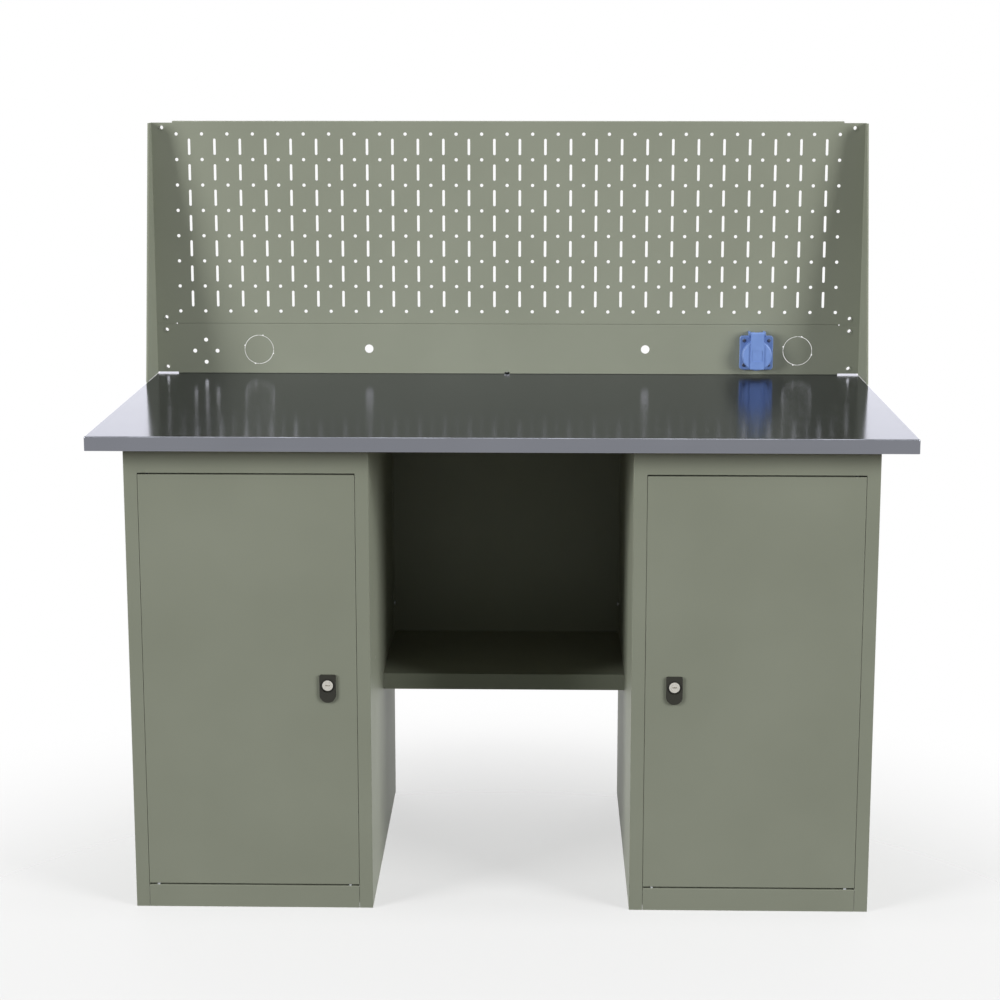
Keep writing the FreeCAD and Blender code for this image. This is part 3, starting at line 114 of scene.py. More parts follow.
# %% [markdown]
# The bench is folded from sheet steel with a baked powder coat in a cement grey that leans to
# green. Powder flows out in the oven to a satin skin with a faint orange peel, a millimetre or two
# across. It would be enough to set one colour, but then large doors look like paper, so a slow
# drift of tone and gloss runs over the sheet. The specular level is lower than the usual 0.5: the
# studio is white to reflections, and at 0.5 that white fills the shade of the knee space.

# %% Powder-coated steel
TONE_FROM, TONE_TO = 0.3, 0.7  # noise seldom leaves this range, so a finish's two tones lie here
DRIFT_MM, PEEL_MM, PEEL_DEPTH_MM = 260, 1.8, 0.12
COAT_ROUGH, COAT_SMOOTH = 0.5, 0.42
COAT_SPECULAR = 0.2


def powder_coat(name, light, dark):
    """Satin paint: the drift keeps large sheets from looking flat, the peel softens highlights."""
    material, tree, place = new_material(name)
    drift = add(tree, "ShaderNodeTexNoise",
                {"Vector": place, "Scale": per_metre(DRIFT_MM), "Detail": 3.0})
    peel = add(tree, "ShaderNodeTexNoise",
               {"Vector": place, "Scale": per_metre(PEEL_MM), "Detail": 2.0})
    colour = add(tree, "ShaderNodeValToRGB", {"Fac": drift.outputs["Fac"]},
                 stops=[(TONE_FROM, dark), (TONE_TO, light)])
    gloss = add(tree, "ShaderNodeMapRange",
                {"Value": drift.outputs["Fac"], "To Min": COAT_ROUGH, "To Max": COAT_SMOOTH})
    bump = add(tree, "ShaderNodeBump", {"Height": peel.outputs["Fac"], "Strength": 0.1,
                                        "Distance": PEEL_DEPTH_MM * MM})
    shader = add(tree, "ShaderNodeBsdfPrincipled",
                 {"Base Color": colour.outputs["Color"], "Roughness": gloss.outputs["Result"],
                  "Specular IOR Level": COAT_SPECULAR, "Normal": bump.outputs["Normal"]})
    add(tree, "ShaderNodeOutputMaterial", {"Surface": shader.outputs["BSDF"]})
    return material


cement_coat = powder_coat("Powder-coated steel, cement grey", "#898D7E", "#838778")
print("made", cement_coat.name)

# %% [markdown]
# The worktop is a smooth cold-rolled sheet with a thin bluish zinc coat. It is a metal, so its
# colour is the colour of its reflections. Rolling leaves ridges that run from side to side. We draw
# them as noise that is stretched along X, half a millimetre apart, which is coarser than the real
# ones and still too fine to see one by one. Their slopes spread a reflection up and down and not
# sideways, so the slots of the screen turn to streaks.

# %% Zinc-coated worktop sheet
RIDGE_MM, RIDGE_DEPTH_MM, RIDGE_STRETCH = 0.5, 0.035, 250
RIDGE_FILTER = 0.02
ZINC_CLOUD_MM = 200
ZINC_SMOOTH, ZINC_ROUGH = 0.11, 0.14


def rolled_zinc():
    """Bare sheet metal: the ridges draw out reflections, and the clouds vary its gloss."""
    material, tree, place = new_material("Zinc-coated sheet steel, rolled")
    stretched = add(tree, "ShaderNodeMapping",
                    {"Vector": place, "Scale": (1 / RIDGE_STRETCH, 1.0, 1.0)})
    ridge = add(tree, "ShaderNodeTexNoise", {"Vector": stretched.outputs["Vector"],
                                             "Scale": per_metre(RIDGE_MM), "Detail": 1.0})
    cloud = add(tree, "ShaderNodeTexNoise",
                {"Vector": place, "Scale": per_metre(ZINC_CLOUD_MM), "Detail": 2.0})
    colour = add(tree, "ShaderNodeValToRGB", {"Fac": cloud.outputs["Fac"]},
                 stops=[(TONE_FROM, "#7A7C83"), (TONE_TO, "#7E8087")])
    gloss = add(tree, "ShaderNodeMapRange",
                {"Value": cloud.outputs["Fac"], "To Min": ZINC_SMOOTH, "To Max": ZINC_ROUGH})
    bump = add(tree, "ShaderNodeBump",
               {"Height": ridge.outputs["Fac"], "Strength": 1.0,
                "Distance": RIDGE_DEPTH_MM * MM, "Filter Width": RIDGE_FILTER})
    shader = add(tree, "ShaderNodeBsdfPrincipled",
                 {"Base Color": colour.outputs["Color"], "Metallic": 1.0,
                  "Specular Tint": linear("#D2D2D8"), "Roughness": gloss.outputs["Result"],
                  "Normal": bump.outputs["Normal"]})
    add(tree, "ShaderNodeOutputMaterial", {"Surface": shader.outputs["BSDF"]})
    return material


worktop_zinc = rolled_zinc()
print("made", worktop_zinc.name)

# %% [markdown]
# Screws, bolts, pins and bushes are zinc plated. Plating dulls steel to a grainy grey sheen. The
# lock cylinder is nickel plated instead, which stays brighter and a little warm. The pivot pins are
# painted near black as shade, so that they sink into the dark of the slits and don't glint there.
# The socket's screws are painted a dark grey-blue as the shade of their recesses, and its contacts
# are bare brass. All are the same tree with other numbers. The real grain is far finer than a
# millimetre and is drawn about that size so that it shows.

# %% Plated hardware
def plated(name, light, dark, grain_mm, smooth, rough):
    """Plated metal: the grain breaks its reflections up a little."""
    material, tree, place = new_material(name)
    grain = add(tree, "ShaderNodeTexNoise",
                {"Vector": place, "Scale": per_metre(grain_mm), "Detail": 3.0})
    colour = add(tree, "ShaderNodeValToRGB", {"Fac": grain.outputs["Fac"]},
                 stops=[(TONE_FROM, dark), (TONE_TO, light)])
    gloss = add(tree, "ShaderNodeMapRange",
                {"Value": grain.outputs["Fac"], "To Min": smooth, "To Max": rough})
    shader = add(tree, "ShaderNodeBsdfPrincipled",
                 {"Base Color": colour.outputs["Color"], "Metallic": 1.0,
                  "Roughness": gloss.outputs["Result"]})
    add(tree, "ShaderNodeOutputMaterial", {"Surface": shader.outputs["BSDF"]})
    return material


zinc_plate = plated("Zinc-plated steel", "#C2C5C8", "#A9ACB0",
                    grain_mm=1.5, smooth=0.28, rough=0.42)
nickel_plate = plated("Nickel-plated brass", "#D3D0C8", "#BFBCB4",
                      grain_mm=0.8, smooth=0.18, rough=0.28)
# Painted shade: near-black steel for the pivot pins, so that they read as the shade in the door
# slits.
pin_shade_black = plated("Steel, painted black as slit shade", "#3A3A3B", "#2A2A2B",
                   grain_mm=1.0, smooth=0.35, rough=0.5)
# Painted shade: a dark zinc for the socket's screws, standing for the shade in their recesses.
screw_shade_zinc = plated("Zinc-plated steel, painted dark as shade", "#62677A", "#525768",
                   grain_mm=1.0, smooth=0.3, rough=0.45)
bare_brass = plated("Bare brass", "#C9A65A", "#AE8C45",
                    grain_mm=1.2, smooth=0.25, rough=0.4)
print("made", [m.name for m in (zinc_plate, nickel_plate, pin_shade_black, screw_shade_zinc, bare_brass)])

# %% [markdown]
# Moulded parts take the fine spark-eroded grain of their mould, drawn coarser than it is so that it
# shows. The socket is polyamide in a mid blue, the lock plate is a dark die casting with a matt
# lacquer, and the contact carrier and the gasket are black. Their specular level is a little under
# the usual 0.5, for the reason given with the paint.

# %% Moulded plastics and rubber
MOULD_CLOUD_MM = 30
MOULD_SPECULAR = 0.4


def moulded(name, light, dark, grain_mm, rough, depth_mm):
    """Plastic, lacquer or rubber: the grain takes the hard edge off each highlight."""
    material, tree, place = new_material(name)
    cloud = add(tree, "ShaderNodeTexNoise",
                {"Vector": place, "Scale": per_metre(MOULD_CLOUD_MM), "Detail": 2.0})
    grain = add(tree, "ShaderNodeTexNoise",
                {"Vector": place, "Scale": per_metre(grain_mm), "Detail": 2.0})
    colour = add(tree, "ShaderNodeValToRGB", {"Fac": cloud.outputs["Fac"]},
                 stops=[(TONE_FROM, dark), (TONE_TO, light)])
    bump = add(tree, "ShaderNodeBump", {"Height": grain.outputs["Fac"], "Strength": 0.15,
                                        "Distance": depth_mm * MM})
    shader = add(tree, "ShaderNodeBsdfPrincipled",
                 {"Base Color": colour.outputs["Color"], "Roughness": rough,
                  "Specular IOR Level": MOULD_SPECULAR, "Normal": bump.outputs["Normal"]})
    add(tree, "ShaderNodeOutputMaterial", {"Surface": shader.outputs["BSDF"]})
    return material


socket_blue = moulded("Moulded polyamide, blue", "#7490C8", "#6C88C0",
                      grain_mm=0.6, rough=0.38, depth_mm=0.05)
lock_lacquer = moulded("Die-cast zinc, dark lacquer", "#1D1D14", "#18180F",
                       grain_mm=0.5, rough=0.5, depth_mm=0.05)
carrier_black = moulded("Moulded phenolic, black", "#1C1C1C", "#151515",
                        grain_mm=0.6, rough=0.5, depth_mm=0.05)
gasket_rubber = moulded("Nitrile rubber, black", "#1E1E1E", "#181818",
                        grain_mm=0.9, rough=0.75, depth_mm=0.08)
print("made", [m.name for m in (socket_blue, lock_lacquer, carrier_black, gasket_rubber)])

# %% [markdown]
# Under the steel cover lies raw particle board, which shows from below. It is pressed from flakes a
# few millimetres long, so each flake is one cell of a Voronoi pattern with its own brown.

# %% Particle board
FLAKE_MM, FLAKE_DEPTH_MM = 4, 0.2
FLAKE_SCALE = (0.5, 1.0, 2.0)  # twice as long as wide, and half as thick


def particle_board():
    """Pressed flakes: a dull patchwork of browns with raised edges."""
    material, tree, place = new_material("Particle board, raw")
    flat = add(tree, "ShaderNodeMapping", {"Vector": place, "Scale": FLAKE_SCALE})
    flakes = add(tree, "ShaderNodeTexVoronoi",
                 {"Vector": flat.outputs["Vector"], "Scale": per_metre(FLAKE_MM)})
    shade = add(tree, "ShaderNodeSeparateColor", {"Color": flakes.outputs["Color"]})
    colour = add(tree, "ShaderNodeValToRGB", {"Fac": shade.outputs["Red"]},
                 stops=[(0.0, "#8C6E4A"), (0.5, "#B18F63"), (1.0, "#CDB083")])
    bump = add(tree, "ShaderNodeBump", {"Height": flakes.outputs["Distance"], "Strength": 0.3,
                                        "Distance": FLAKE_DEPTH_MM * MM})
    shader = add(tree, "ShaderNodeBsdfPrincipled",
                 {"Base Color": colour.outputs["Color"], "Roughness": 0.85,
                  "Normal": bump.outputs["Normal"]})
    add(tree, "ShaderNodeOutputMaterial", {"Surface": shader.outputs["BSDF"]})
    return material


raw_board = particle_board()
print("made", raw_board.name)

# %% [markdown]
# Each CAD node names its finish by its record slot, so one table from slot to material dresses them
# all. Only the pivot pins differ from the other pieces of their slot.

# %% Dress the CAD nodes
SIDES = {"left": -1, "right": 1}
finish_of_slot = {
    "grey_paint": cement_coat,
    "worktop_steel": worktop_zinc,
    "board": raw_board,
    "zinc": zinc_plate,
    "lock_dark": lock_lacquer,
    "lock_chrome": nickel_plate,
    "socket_blue": socket_blue,
    "carrier_black": carrier_black,
    "gasket_rubber": gasket_rubber,
    "contact_brass": bare_brass,
}
slot_of_node = {entry["node"]: entry["material_slot"] for entry in frame["record"]["subparts"]}
for name, node in frame["nodes"].items():
    node.data.materials.clear()
    node.data.materials.append(finish_of_slot[slot_of_node[name]])
# The pivot pins take the near-black steel that is painted shade for the slits.
for hand in SIDES:
    frame["nodes"][f"{hand}_door_pivot_pins"].data.materials[0] = pin_shade_black
print("dressed", len(slot_of_node), "nodes with", len(finish_of_slot), "finishes")

# %% [markdown]
# The fasteners in the solids are plain discs on plain rods. The real ones are turned, headed or
# rolled about one axis, so one helper spins a profile of radius and height round Z. Blender's Screw
# modifier could do that as well, but here the same few lines also make a hexagon, which is a
# profile turned in only six steps. A thread is a stack of rings instead of a helix. It looks the
# same at this size and closes without a seam.

# %% Turned solids
SEGMENTS = 24
THREAD_TURNS = 10
CREST_AT, ROOT_AT = 0.3, 0.8  # places within one turn of a thread


def turn_profile(mesh, profile, sides=SEGMENTS):
    """Adds a solid of revolution about Z from (radius, height) pairs.

    A profile that starts off the axis closes on itself.
    """
    rings = []
    angles = [2 * math.pi * i / sides for i in range(sides)]
    for radius, height in profile:
        if radius == 0:
            rings.append([mesh.verts.new((0, 0, height))])
            continue
        rings.append([mesh.verts.new((radius * math.cos(a), radius * math.sin(a), height))
                      for a in angles])
    if profile[0][0] > 0:
        rings.append(rings[0])
    for lower, upper in zip(rings, rings[1:]):
        for i in range(sides):
            k = (i + 1) % sides
            corners = [lower[i % len(lower)], lower[k % len(lower)],
                       upper[k % len(upper)], upper[i % len(upper)]]
            mesh.faces.new(list(dict.fromkeys(corners)))


def keep_mesh(name, mesh):
    """Writes a bmesh, its faces turned outwards, to a new object outside the scene."""
    bmesh.ops.recalc_face_normals(mesh, faces=mesh.faces)
    data = bpy.data.meshes.new(name)
    mesh.to_mesh(data)
    mesh.free()
    return bpy.data.objects.new(name, data)


def lathe(name, profile):
    """One turned solid as an object."""
    mesh = bmesh.new()
    turn_profile(mesh, profile)
    return keep_mesh(name, mesh)


def thread(root, crest, low, high):
    """The saw-tooth profile of a thread as stacked rings."""
    pitch = (high - low) / THREAD_TURNS
    teeth = []
    for i in range(THREAD_TURNS):
        teeth += [(crest, low + (i + CREST_AT) * pitch), (root, low + (i + ROOT_AT) * pitch)]
    return teeth


print("a turned solid has", SEGMENTS, "sides and a thread", THREAD_TURNS, "turns")

# %% [markdown]
# The bench is held by pan-head screws with a cross recess. The head and the thread are one turned
# profile, and a Boolean sinks a tapered cross into the head, as the punch does in the making.

# %% One pan-head screw
# The head's outline, as shares of its diameter and its height.
PAN_HEAD = ((0, -1), (0.28, -1), (0.42, -0.82), (0.5, -0.45), (0.5, 0))
CROSS_TAPER = 0.35


def cross_cutter(width, reach, deep, outside):
    """A cross-shaped punch with long arms outside the head and short ones at the deep end.

    It is turned by half a segment, so that its corners miss the edges of the head and leave no
    slivers.
    """
    mesh = bmesh.new()
    half = width / 2
    half_segment = math.pi / SEGMENTS
    outlines = []
    for arm, height in ((reach, outside), (CROSS_TAPER * reach, deep)):
        outline = []
        for quarter in range(4):
            turn = Euler((0, 0, quarter * math.pi / 2 + half_segment)).to_matrix()
            for x, y in ((arm, -half), (arm, half), (half, half)):
                outline.append(mesh.verts.new(turn @ Vector((x, y, height))))
        mesh.faces.new(outline)
        outlines.append(outline)
    wide, narrow = outlines
    for i in range(len(wide)):
        mesh.faces.new((wide[i - 1], wide[i], narrow[i], narrow[i - 1]))
    return keep_mesh("cross_cutter", mesh)


def evaluated_mesh(obj):
    """The object's mesh with its modifiers applied, as a plain mesh."""
    scene_objects = bpy.context.scene.collection.objects
    scene_objects.link(obj)
    bpy.context.view_layer.update()
    graph = bpy.context.evaluated_depsgraph_get()
    data = bpy.data.meshes.new_from_object(obj.evaluated_get(graph))
    scene_objects.unlink(obj)
    return data


def pan_screw(name, shank, head, head_height, length):
    """A screw along +Z, its seat at zero and its head below; shank and head are diameters."""
    root, crest = 0.42 * shank, shank / 2
    tip_radius, tip_start = 0.4 * shank, length - 0.35 * shank
    profile = [(radius * head, height * head_height) for radius, height in PAN_HEAD]
    profile += [(crest, 0), *thread(root, crest, 0, tip_start), (tip_radius, tip_start)]
    profile += [(0, length)]
    body = lathe(name, profile)
    cutter = cross_cutter(width=0.11 * head, reach=0.27 * head,
                          deep=-0.35 * head_height, outside=-1.2 * head_height)
    recess = body.modifiers.new("recess", "BOOLEAN")
    recess.object = cutter
    bpy.context.scene.collection.objects.link(cutter)
    made = evaluated_mesh(body)
    for used in (cutter, body):
        bpy.data.objects.remove(used)
    return bpy.data.objects.new(name, made)


bench_screw = pan_screw("bench_screw", shank=4.8 * MM, head=9.5 * MM, head_height=2.6 * MM,
                        length=18 * MM)
sheet_screw = pan_screw("sheet_screw", shank=4.8 * MM, head=9.5 * MM, head_height=2.6 * MM,
                        length=9 * MM)
socket_screw = pan_screw("socket_screw", shank=3.5 * MM, head=7 * MM, head_height=1.6 * MM,
                         length=14 * MM)
print("screws", [len(s.data.polygons) for s in (bench_screw, sheet_screw, socket_screw)], "faces")

# %% [markdown]
# Fasteners sit in rows, so Geometry Nodes set them. The tree is short: each point starts a row of
# seats, one piece of hardware is set on each seat, turned as an attribute of the point says, then
# made real and given its material. Its inputs are how many seats a row has, the step from one to
# the next, the piece to set and its finish.

# %% A tree that sets hardware in rows
def hardware_tree():
    tree = bpy.data.node_groups.new("Set hardware in rows", "GeometryNodeTree")
    tree.is_modifier = True
    sockets = {}
    for name, kind in (("Row starts", "NodeSocketGeometry"), ("Row count", "NodeSocketInt"),
                       ("Row step", "NodeSocketVector"), ("Hardware", "NodeSocketObject"),
                       ("Finish", "NodeSocketMaterial")):
        socket = tree.interface.new_socket(name, in_out="INPUT", socket_type=kind)
        sockets[name] = socket.identifier
    tree.interface.new_socket("Geometry", in_out="OUTPUT", socket_type="NodeSocketGeometry")
    given = add(tree, "NodeGroupInput").outputs
    row = add(tree, "GeometryNodeMeshLine",
              {"Count": given["Row count"], "Offset": given["Row step"]})
    rows = add(tree, "GeometryNodeInstanceOnPoints",
               {"Points": given["Row starts"], "Instance": row.outputs["Mesh"]})
    seats = add(tree, "GeometryNodeRealizeInstances", {"Geometry": rows.outputs["Instances"]})
    piece = add(tree, "GeometryNodeObjectInfo", {"Object": given["Hardware"]})
    turn = add(tree, "GeometryNodeInputNamedAttribute", {"Name": "turn"}, data_type="FLOAT_VECTOR")
    rotation = add(tree, "FunctionNodeEulerToRotation", {"Euler": turn.outputs["Attribute"]})
    placed = add(tree, "GeometryNodeInstanceOnPoints",
                 {"Points": seats.outputs["Geometry"], "Instance": piece.outputs["Geometry"],
                  "Rotation": rotation.outputs["Rotation"]})
    real = add(tree, "GeometryNodeRealizeInstances", {"Geometry": placed.outputs["Instances"]})
    dressed = add(tree, "GeometryNodeSetMaterial",
                  {"Geometry": real.outputs["Geometry"], "Material": given["Finish"]})
    add(tree, "NodeGroupOutput", {"Geometry": dressed.outputs["Geometry"]})
    return tree, sockets


set_hardware, hardware_sockets = hardware_tree()
print(set_hardware.name, "has", len(set_hardware.nodes), "nodes")

# %% [markdown]
# A mesh of bare points feeds the tree: each has a place and, as its attribute, the turn that points
# the hardware the right way. The export drops instances, so the result is kept as a plain mesh. It
# then rides on the bench and takes the place of the plain solids of its CAD node.

# %% Rows in place of plain solids
TURN_TO = {
    "+x": (0, math.pi / 2, 0), "-x": (0, -math.pi / 2, 0), "+y": (-math.pi / 2, 0, 0),
    "+z": (0, 0, 0), "-z": (math.pi, 0, 0),
}


def set_in_rows(name, piece, finish, starts, count=1, step=(0, 0, 0)):
    """One mesh with rows of the piece.

    Each start is a place in millimetres and the way that the piece points.
    """
    cloud = bpy.data.meshes.new(name)
    cloud.from_pydata([[c * MM for c in place] for place, direction in starts], [], [])
    turn = cloud.attributes.new("turn", "FLOAT_VECTOR", "POINT")
    for i, (place, direction) in enumerate(starts):
        turn.data[i].vector = TURN_TO[direction]
    holder = bpy.data.objects.new(f"{name}_starts", cloud)
    maker = holder.modifiers.new("set hardware", "NODES")
    maker.node_group = set_hardware
    maker[hardware_sockets["Row count"]] = count
    maker[hardware_sockets["Row step"]] = [c * MM for c in step]
    maker[hardware_sockets["Hardware"]] = piece
    maker[hardware_sockets["Finish"]] = finish
    made = bpy.data.objects.new(name, evaluated_mesh(holder))
    bpy.data.objects.remove(holder)
    bpy.context.scene.collection.objects.link(made)
    print(name, count * len(starts), "pieces,", len(made.data.polygons), "faces")
    return made


def replace_node(name, piece, finish, slot, starts, **row):
    """Sets rows of hardware in place of the plain solids of one node of the bench."""
    made = set_in_rows(f"{name}_set", piece, finish, starts, **row)
    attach(made, "bench")
    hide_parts(name)


print("hardware can point to", list(TURN_TO))

# %% [markdown]
# Now the screws go to their seats: beside the knee space, on the screen's foot flange, under the
# pedestals' top flanges and at the corners of the socket. All places are in millimetres.

# %% Set the screws
KNEE_X = 223.6
KNEE_SHELF_YZ = ((9, 324), (215, 324))
KNEE_BACK_YZ = ((243.8, 399), (243.8, 765))
knee_seats = [((side * KNEE_X, y, z), direction) for side, direction in ((-1, "-x"), (1, "+x"))
              for y, z in KNEE_SHELF_YZ + KNEE_BACK_YZ]
replace_node("knee_screws", sheet_screw, zinc_plate, "zinc", knee_seats)

foot_seats = [((-600, 336, 851.5), "-z")]
replace_node("screen_foot_screws", bench_screw, zinc_plate, "zinc", foot_seats,
             count=5, step=(300, 0, 0))

top_seats = [((x, -236, 823.5), "+z") for x in (-625.5, -241.5, 241.5, 625.5)]
replace_node("worktop_screws", bench_screw, zinc_plate, "zinc", top_seats,
             count=2, step=(0, 411, 0))

# The socket's screws take the zinc that is painted dark as the shade of their recesses.
socket_seats = [((470.5, 316, z), "+y") for z in (870.5, 919.5)]
replace_node("socket_screws", socket_screw, screw_shade_zinc, "zinc", socket_seats,
             count=2, step=(49, 0, 0))

# %% [markdown]
# Behind the screen, hexagon bolts and nuts join the flanges of the two panels, and each ear carries
# open rivet nuts with a thread in the bore. A hexagon is the same turned profile with six sides, so
# its chamfer comes for free.

# %% Bolts, nuts and rivet nuts
FLAT = 0.86  # the share of a hexagon's corner radius that its chamfer leaves flat
RIM_GAP = 0.01 * MM


def hex_bolt(name, across_corners, head_height, shank, length):
    """A bolt along +Z with its seat at zero and its chamfered head below.

    Head and shank are turned apart and bridged at their open rims, which needs a small gap there.
    """
    mesh = bmesh.new()
    corner, edge = across_corners / 2, -0.8 * head_height
    root, crest, tip_radius = 0.43 * shank, shank / 2, 0.4 * shank
    ridges = thread(root, crest, low=0.1 * length, high=0.94 * length)
    turn_profile(mesh, [(0, -head_height), (FLAT * corner, -head_height), (corner, edge),
                        (corner, 0)], sides=6)
    turn_profile(mesh, [(0, length), (tip_radius, length), *reversed(ridges), (crest, RIM_GAP)])
    bmesh.ops.bridge_loops(mesh, edges=[edge for edge in mesh.edges if edge.is_boundary])
    return keep_mesh(name, mesh)


def hex_nut(name, across_corners, height, bore):
    """A nut along +Z from zero, chamfered at both ends.

    Its bore has six sides too, which the bolt in it hides.
    """
    mesh = bmesh.new()
    corner, hole = across_corners / 2, bore / 2
    low_edge, high_edge = 0.15 * height, 0.85 * height
    turn_profile(mesh, [(hole, 0), (FLAT * corner, 0), (corner, low_edge), (corner, high_edge),
                        (FLAT * corner, height), (hole, height)], sides=6)
    return keep_mesh(name, mesh)


def rivet_nut(name, flange, flange_height, stem, bore, length):
    """An open rivet nut along +Z with its rolled flange below zero and a thread in the bore."""
    hole, rim, barrel = bore / 2, flange / 2, stem / 2
    crown, rolled_edge = 0.46 * flange, -0.5 * flange_height
    grooves = thread(root=hole, crest=0.95 * hole, low=0.1 * length, high=0.95 * length)
    return lathe(name, [(hole, -flange_height), (crown, -flange_height), (rim, rolled_edge),
                        (rim, 0), (barrel, 0), (barrel, length), (hole, length),
                        *reversed(grooves)])


seam_bolt = hex_bolt("seam_bolt", across_corners=11 * MM, head_height=4 * MM, shank=6 * MM,
                     length=10 * MM)
seam_nut = hex_nut("seam_nut", across_corners=11 * MM, height=5 * MM, bore=6.2 * MM)
ear_nut = rivet_nut("ear_nut", flange=12 * MM, flange_height=0.6 * MM, stem=10 * MM, bore=8 * MM,
                    length=11 * MM)
seam_row = {"count": 4, "step": (400, 0, 0)}
replace_node("seam_bolts", seam_bolt, zinc_plate, "zinc", [((-600, 335, 951.5), "-z")], **seam_row)
replace_node("seam_nuts", seam_nut, zinc_plate, "zinc", [((-600, 335, 943.5), "+z")], **seam_row)
ear_seats = [((-679, 323, z), "+y") for z in (862.5, 937.5, 962.5, 1337.5)]
replace_node("ear_rivet_nuts", ear_nut, cement_coat, "grey_paint", ear_seats,
             count=2, step=(1358, 0, 0))

# %% [markdown]
# A cabinet is spot welded: its side panels carry a column of small dished marks down each rear
# flange. From close behind they show as soft rings under the paint. A bump could fake them, but the
# exported mesh would lose it, so one ring is turned once and set in columns. Its foot lies a little
# inside the sheet, so that no gap shows.

# %% Spot welds down the rear flanges
DISH_MM = ((0, -0.05), (1.6, -0.05))
RING_MM = ((2.4, 0.25), (3.2, 0.25), (3.6, -0.05))
WELD_FOOT_MM = ((3.6, -0.3), (0, -0.3))
weld_ring = lathe("weld_ring", [(radius * MM, height * MM)
                                for radius, height in DISH_MM + RING_MM + WELD_FOOT_MM])
weld_starts = [((x, 255, 50), "+y") for x in (-630.5, -236.5, 236.5, 630.5)]
welds = set_in_rows("spot_welds", weld_ring, cement_coat, weld_starts, count=10, step=(0, 0, 75))
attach(welds, "bench")

# %% [markdown]
# The bench stands on a pale studio floor in front of white. The floor takes the shadow and fades
# out a step away, so no horizon shows. It throws back less light than its tone suggests, so that
# the knee space falls into shade.

# %% Floor
FLOOR_HALF = 6.0
FADE_CENTRE = (0, -0.9, 0)
FADE_FROM, FADE_TO = 0.9, 1.8
VEIL = 0.6  # how clear the floor is where it is densest


def seen_directly(tree):
    """One for rays of the camera, reflections and glass, zero for light that falls on things."""
    rays = add(tree, "ShaderNodeLightPath").outputs
    seen = add(tree, "ShaderNodeMath", {0: rays["Is Camera Ray"], 1: rays["Is Glossy Ray"]},
               operation="MAXIMUM")
    seen = add(tree, "ShaderNodeMath", {0: seen.outputs[0], 1: rays["Is Transmission Ray"]},
               operation="MAXIMUM")
    return seen.outputs[0]


floor_mesh = bpy.data.meshes.new("studio_floor")
floor_mesh.from_pydata([(x * FLOOR_HALF, y * FLOOR_HALF, 0)
                        for x, y in ((-1, -1), (1, -1), (1, 1), (-1, 1))], [], [(0, 1, 2, 3)])
floor = bpy.data.objects.new("studio_floor", floor_mesh)
bpy.context.scene.collection.objects.link(floor)
floor_material, tree, place = new_material("Matt studio floor")
# A colour mix takes its factor at 0 and its colours at 6 and 7, and gives the result at 2.
tone = add(tree, "ShaderNodeMix",
           {0: seen_directly(tree), 6: linear("#6E6E6E"), 7: linear("#DADADA")}, data_type="RGBA")
matt = add(tree, "ShaderNodeBsdfDiffuse", {"Color": tone.outputs[2]})
distance = add(tree, "ShaderNodeVectorMath", {0: place, 1: FADE_CENTRE}, operation="DISTANCE")
fade = add(tree, "ShaderNodeMapRange",
           {"Value": distance.outputs["Value"], "From Min": FADE_FROM, "From Max": FADE_TO,
            "To Min": VEIL}, interpolation_type="SMOOTHSTEP")
clear = add(tree, "ShaderNodeBsdfTransparent")
surface = add(tree, "ShaderNodeMixShader",
              {0: fade.outputs["Result"], 1: matt.outputs["BSDF"], 2: clear.outputs["BSDF"]})
add(tree, "ShaderNodeOutputMaterial", {"Surface": surface.outputs["Shader"]})
floor_mesh.materials.append(floor_material)
print("floor fades out from", FADE_FROM, "to", FADE_TO, "m")

# %% [markdown]
# The world looks white to the camera and to reflections, but gives less light to everything else:
# some from above and behind, and hardly any from in front or below.

# %% World
WHITE = linear("#FFFFFF")
FILL_ABOVE, FILL_BEHIND, FILL_BELOW = 0.2, 0.6, 0.04
BELOW_FULL = -0.1  # the light from below is full for directions that dip this far
world = bpy.data.worlds.new("white studio")
bpy.context.scene.world = world
world.use_nodes = True
tree = world.node_tree
tree.nodes.clear()
direction = add(tree, "ShaderNodeTexCoord").outputs["Generated"]
parts = add(tree, "ShaderNodeSeparateXYZ", {"Vector": direction})
above = add(tree, "ShaderNodeMapRange", {"Value": parts.outputs["Z"], "To Max": FILL_ABOVE})
behind = add(tree, "ShaderNodeMapRange", {"Value": parts.outputs["Y"], "To Max": FILL_BEHIND})
below = add(tree, "ShaderNodeMapRange",
            {"Value": parts.outputs["Z"], "From Max": BELOW_FULL, "To Max": FILL_BELOW})
level = add(tree, "ShaderNodeMath",
            {0: above.outputs["Result"], 1: behind.outputs["Result"]}, operation="ADD")
level = add(tree, "ShaderNodeMath",
            {0: level.outputs[0], 1: below.outputs["Result"]}, operation="ADD")
fill = add(tree, "ShaderNodeBackground", {"Color": WHITE, "Strength": level.outputs[0]})
white = add(tree, "ShaderNodeBackground", {"Color": WHITE, "Strength": 1.0})
mixed = add(tree, "ShaderNodeMixShader",
            {0: seen_directly(tree), 1: fill.outputs["Background"],
             2: white.outputs["Background"]})
add(tree, "ShaderNodeOutputWorld", {"Surface": mixed.outputs["Shader"]})
print("fill from above", FILL_ABOVE, "from behind", FILL_BEHIND, "from below", FILL_BELOW)

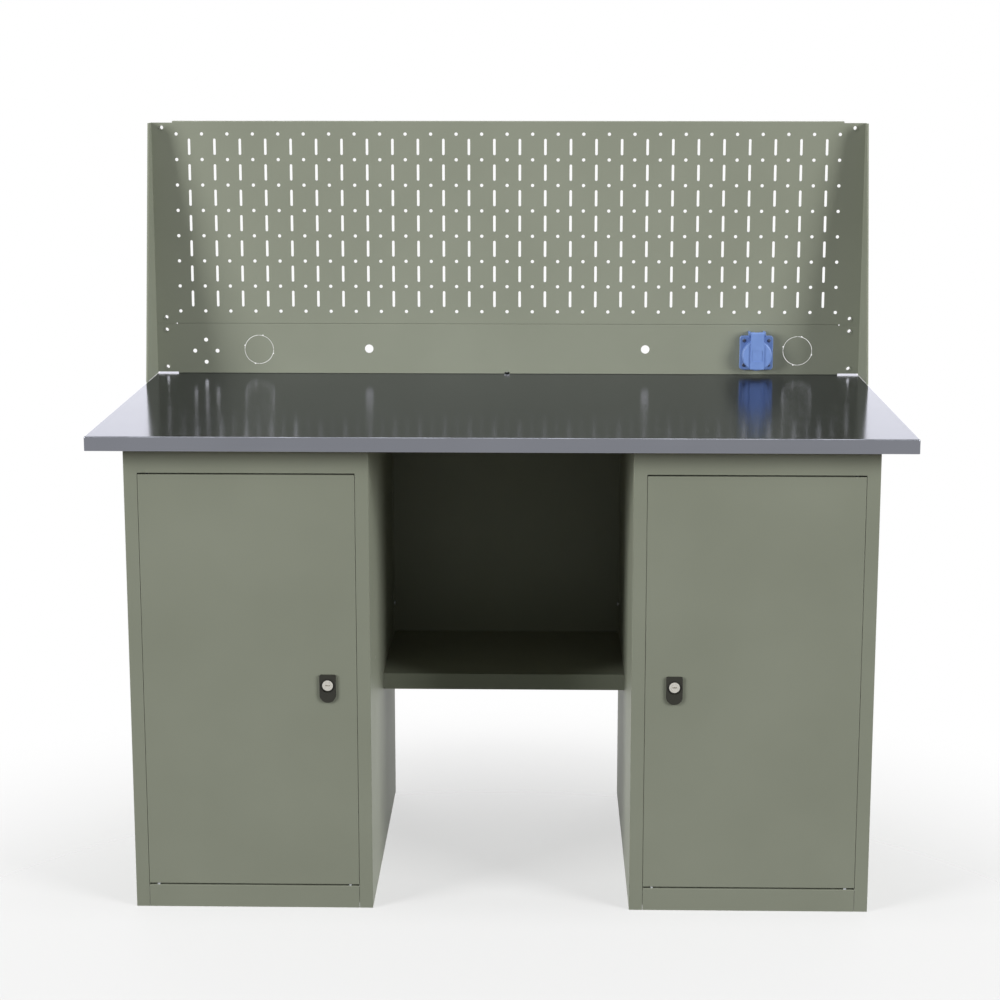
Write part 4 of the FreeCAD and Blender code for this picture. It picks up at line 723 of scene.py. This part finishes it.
# %% [markdown]
# Two tall soft boxes stand far out in front, one at each side. Their height makes the worktop's
# shadow on the rail fade softly downwards, and their angle gives each wing a wide shadow on the
# screen but keeps light out of the knee space. Two weaker boxes stand low behind the ends of the
# screen. They rim the sides, and their reflections brighten the ends of the worktop. A narrow strip
# overhead draws a bright line along the worktop's rounded edge.

# %% Lamps
BENCH_MIDDLE = (0, 0, 0.7)
WORKTOP_EDGE = (0, -0.35, 0.85)


def soft_box(name, place, target, size, watts):
    """A rectangular lamp of that width and height in metres, turned to its target."""
    lamp = bpy.data.lights.new(name, "AREA")
    lamp.shape = "RECTANGLE"
    lamp.size, lamp.size_y = size
    lamp.energy = watts
    obj = bpy.data.objects.new(name, lamp)
    obj.location = place
    obj.rotation_euler = (Vector(target) - Vector(place)).to_track_quat("-Z", "Y").to_euler()
    obj.visible_camera = False
    bpy.context.scene.collection.objects.link(obj)


for hand, side in SIDES.items():
    soft_box(f"{hand}_front_box", place=(side * 6.9, -4.0, 3.3), target=BENCH_MIDDLE,
             size=(3.0, 4.2), watts=640)
    soft_box(f"{hand}_rim_box", place=(side * 1.3, 2.2, 1.3), target=BENCH_MIDDLE,
             size=(1.4, 1.4), watts=8)
soft_box("top_strip", place=(0, -0.4, 5.0), target=WORKTOP_EDGE, size=(4.0, 0.5), watts=50)

# %% [markdown]
# The camera stands in front, a little to the right of the middle and above the screen's top, and
# looks slightly down. A long lens keeps the doors nearly square, and a small shift keeps the
# verticals close to upright.

# %% Camera
PIXELS, SENSOR_MM = 1000, 36.0
FOCAL_PIXELS = 2033.7
LENS_SHIFT = -0.1
CAMERA_PLACE = (0.065, -3.6858, 1.4964)
PITCH_DOWN, YAW_LEFT = 0.1727, 0.0197
lens = bpy.data.cameras.new("bench_camera")
lens.sensor_width = SENSOR_MM
lens.lens = FOCAL_PIXELS / PIXELS * SENSOR_MM
lens.shift_y = LENS_SHIFT
camera = bpy.data.objects.new("bench_camera", lens)
camera.location = CAMERA_PLACE
camera.rotation_euler = (math.pi / 2 - PITCH_DOWN, 0, YAW_LEFT)
bpy.context.scene.collection.objects.link(camera)
bpy.context.scene.camera = camera
bpy.context.scene.view_settings.view_transform = "Standard"
print("lens", round(lens.lens, 1), "mm")
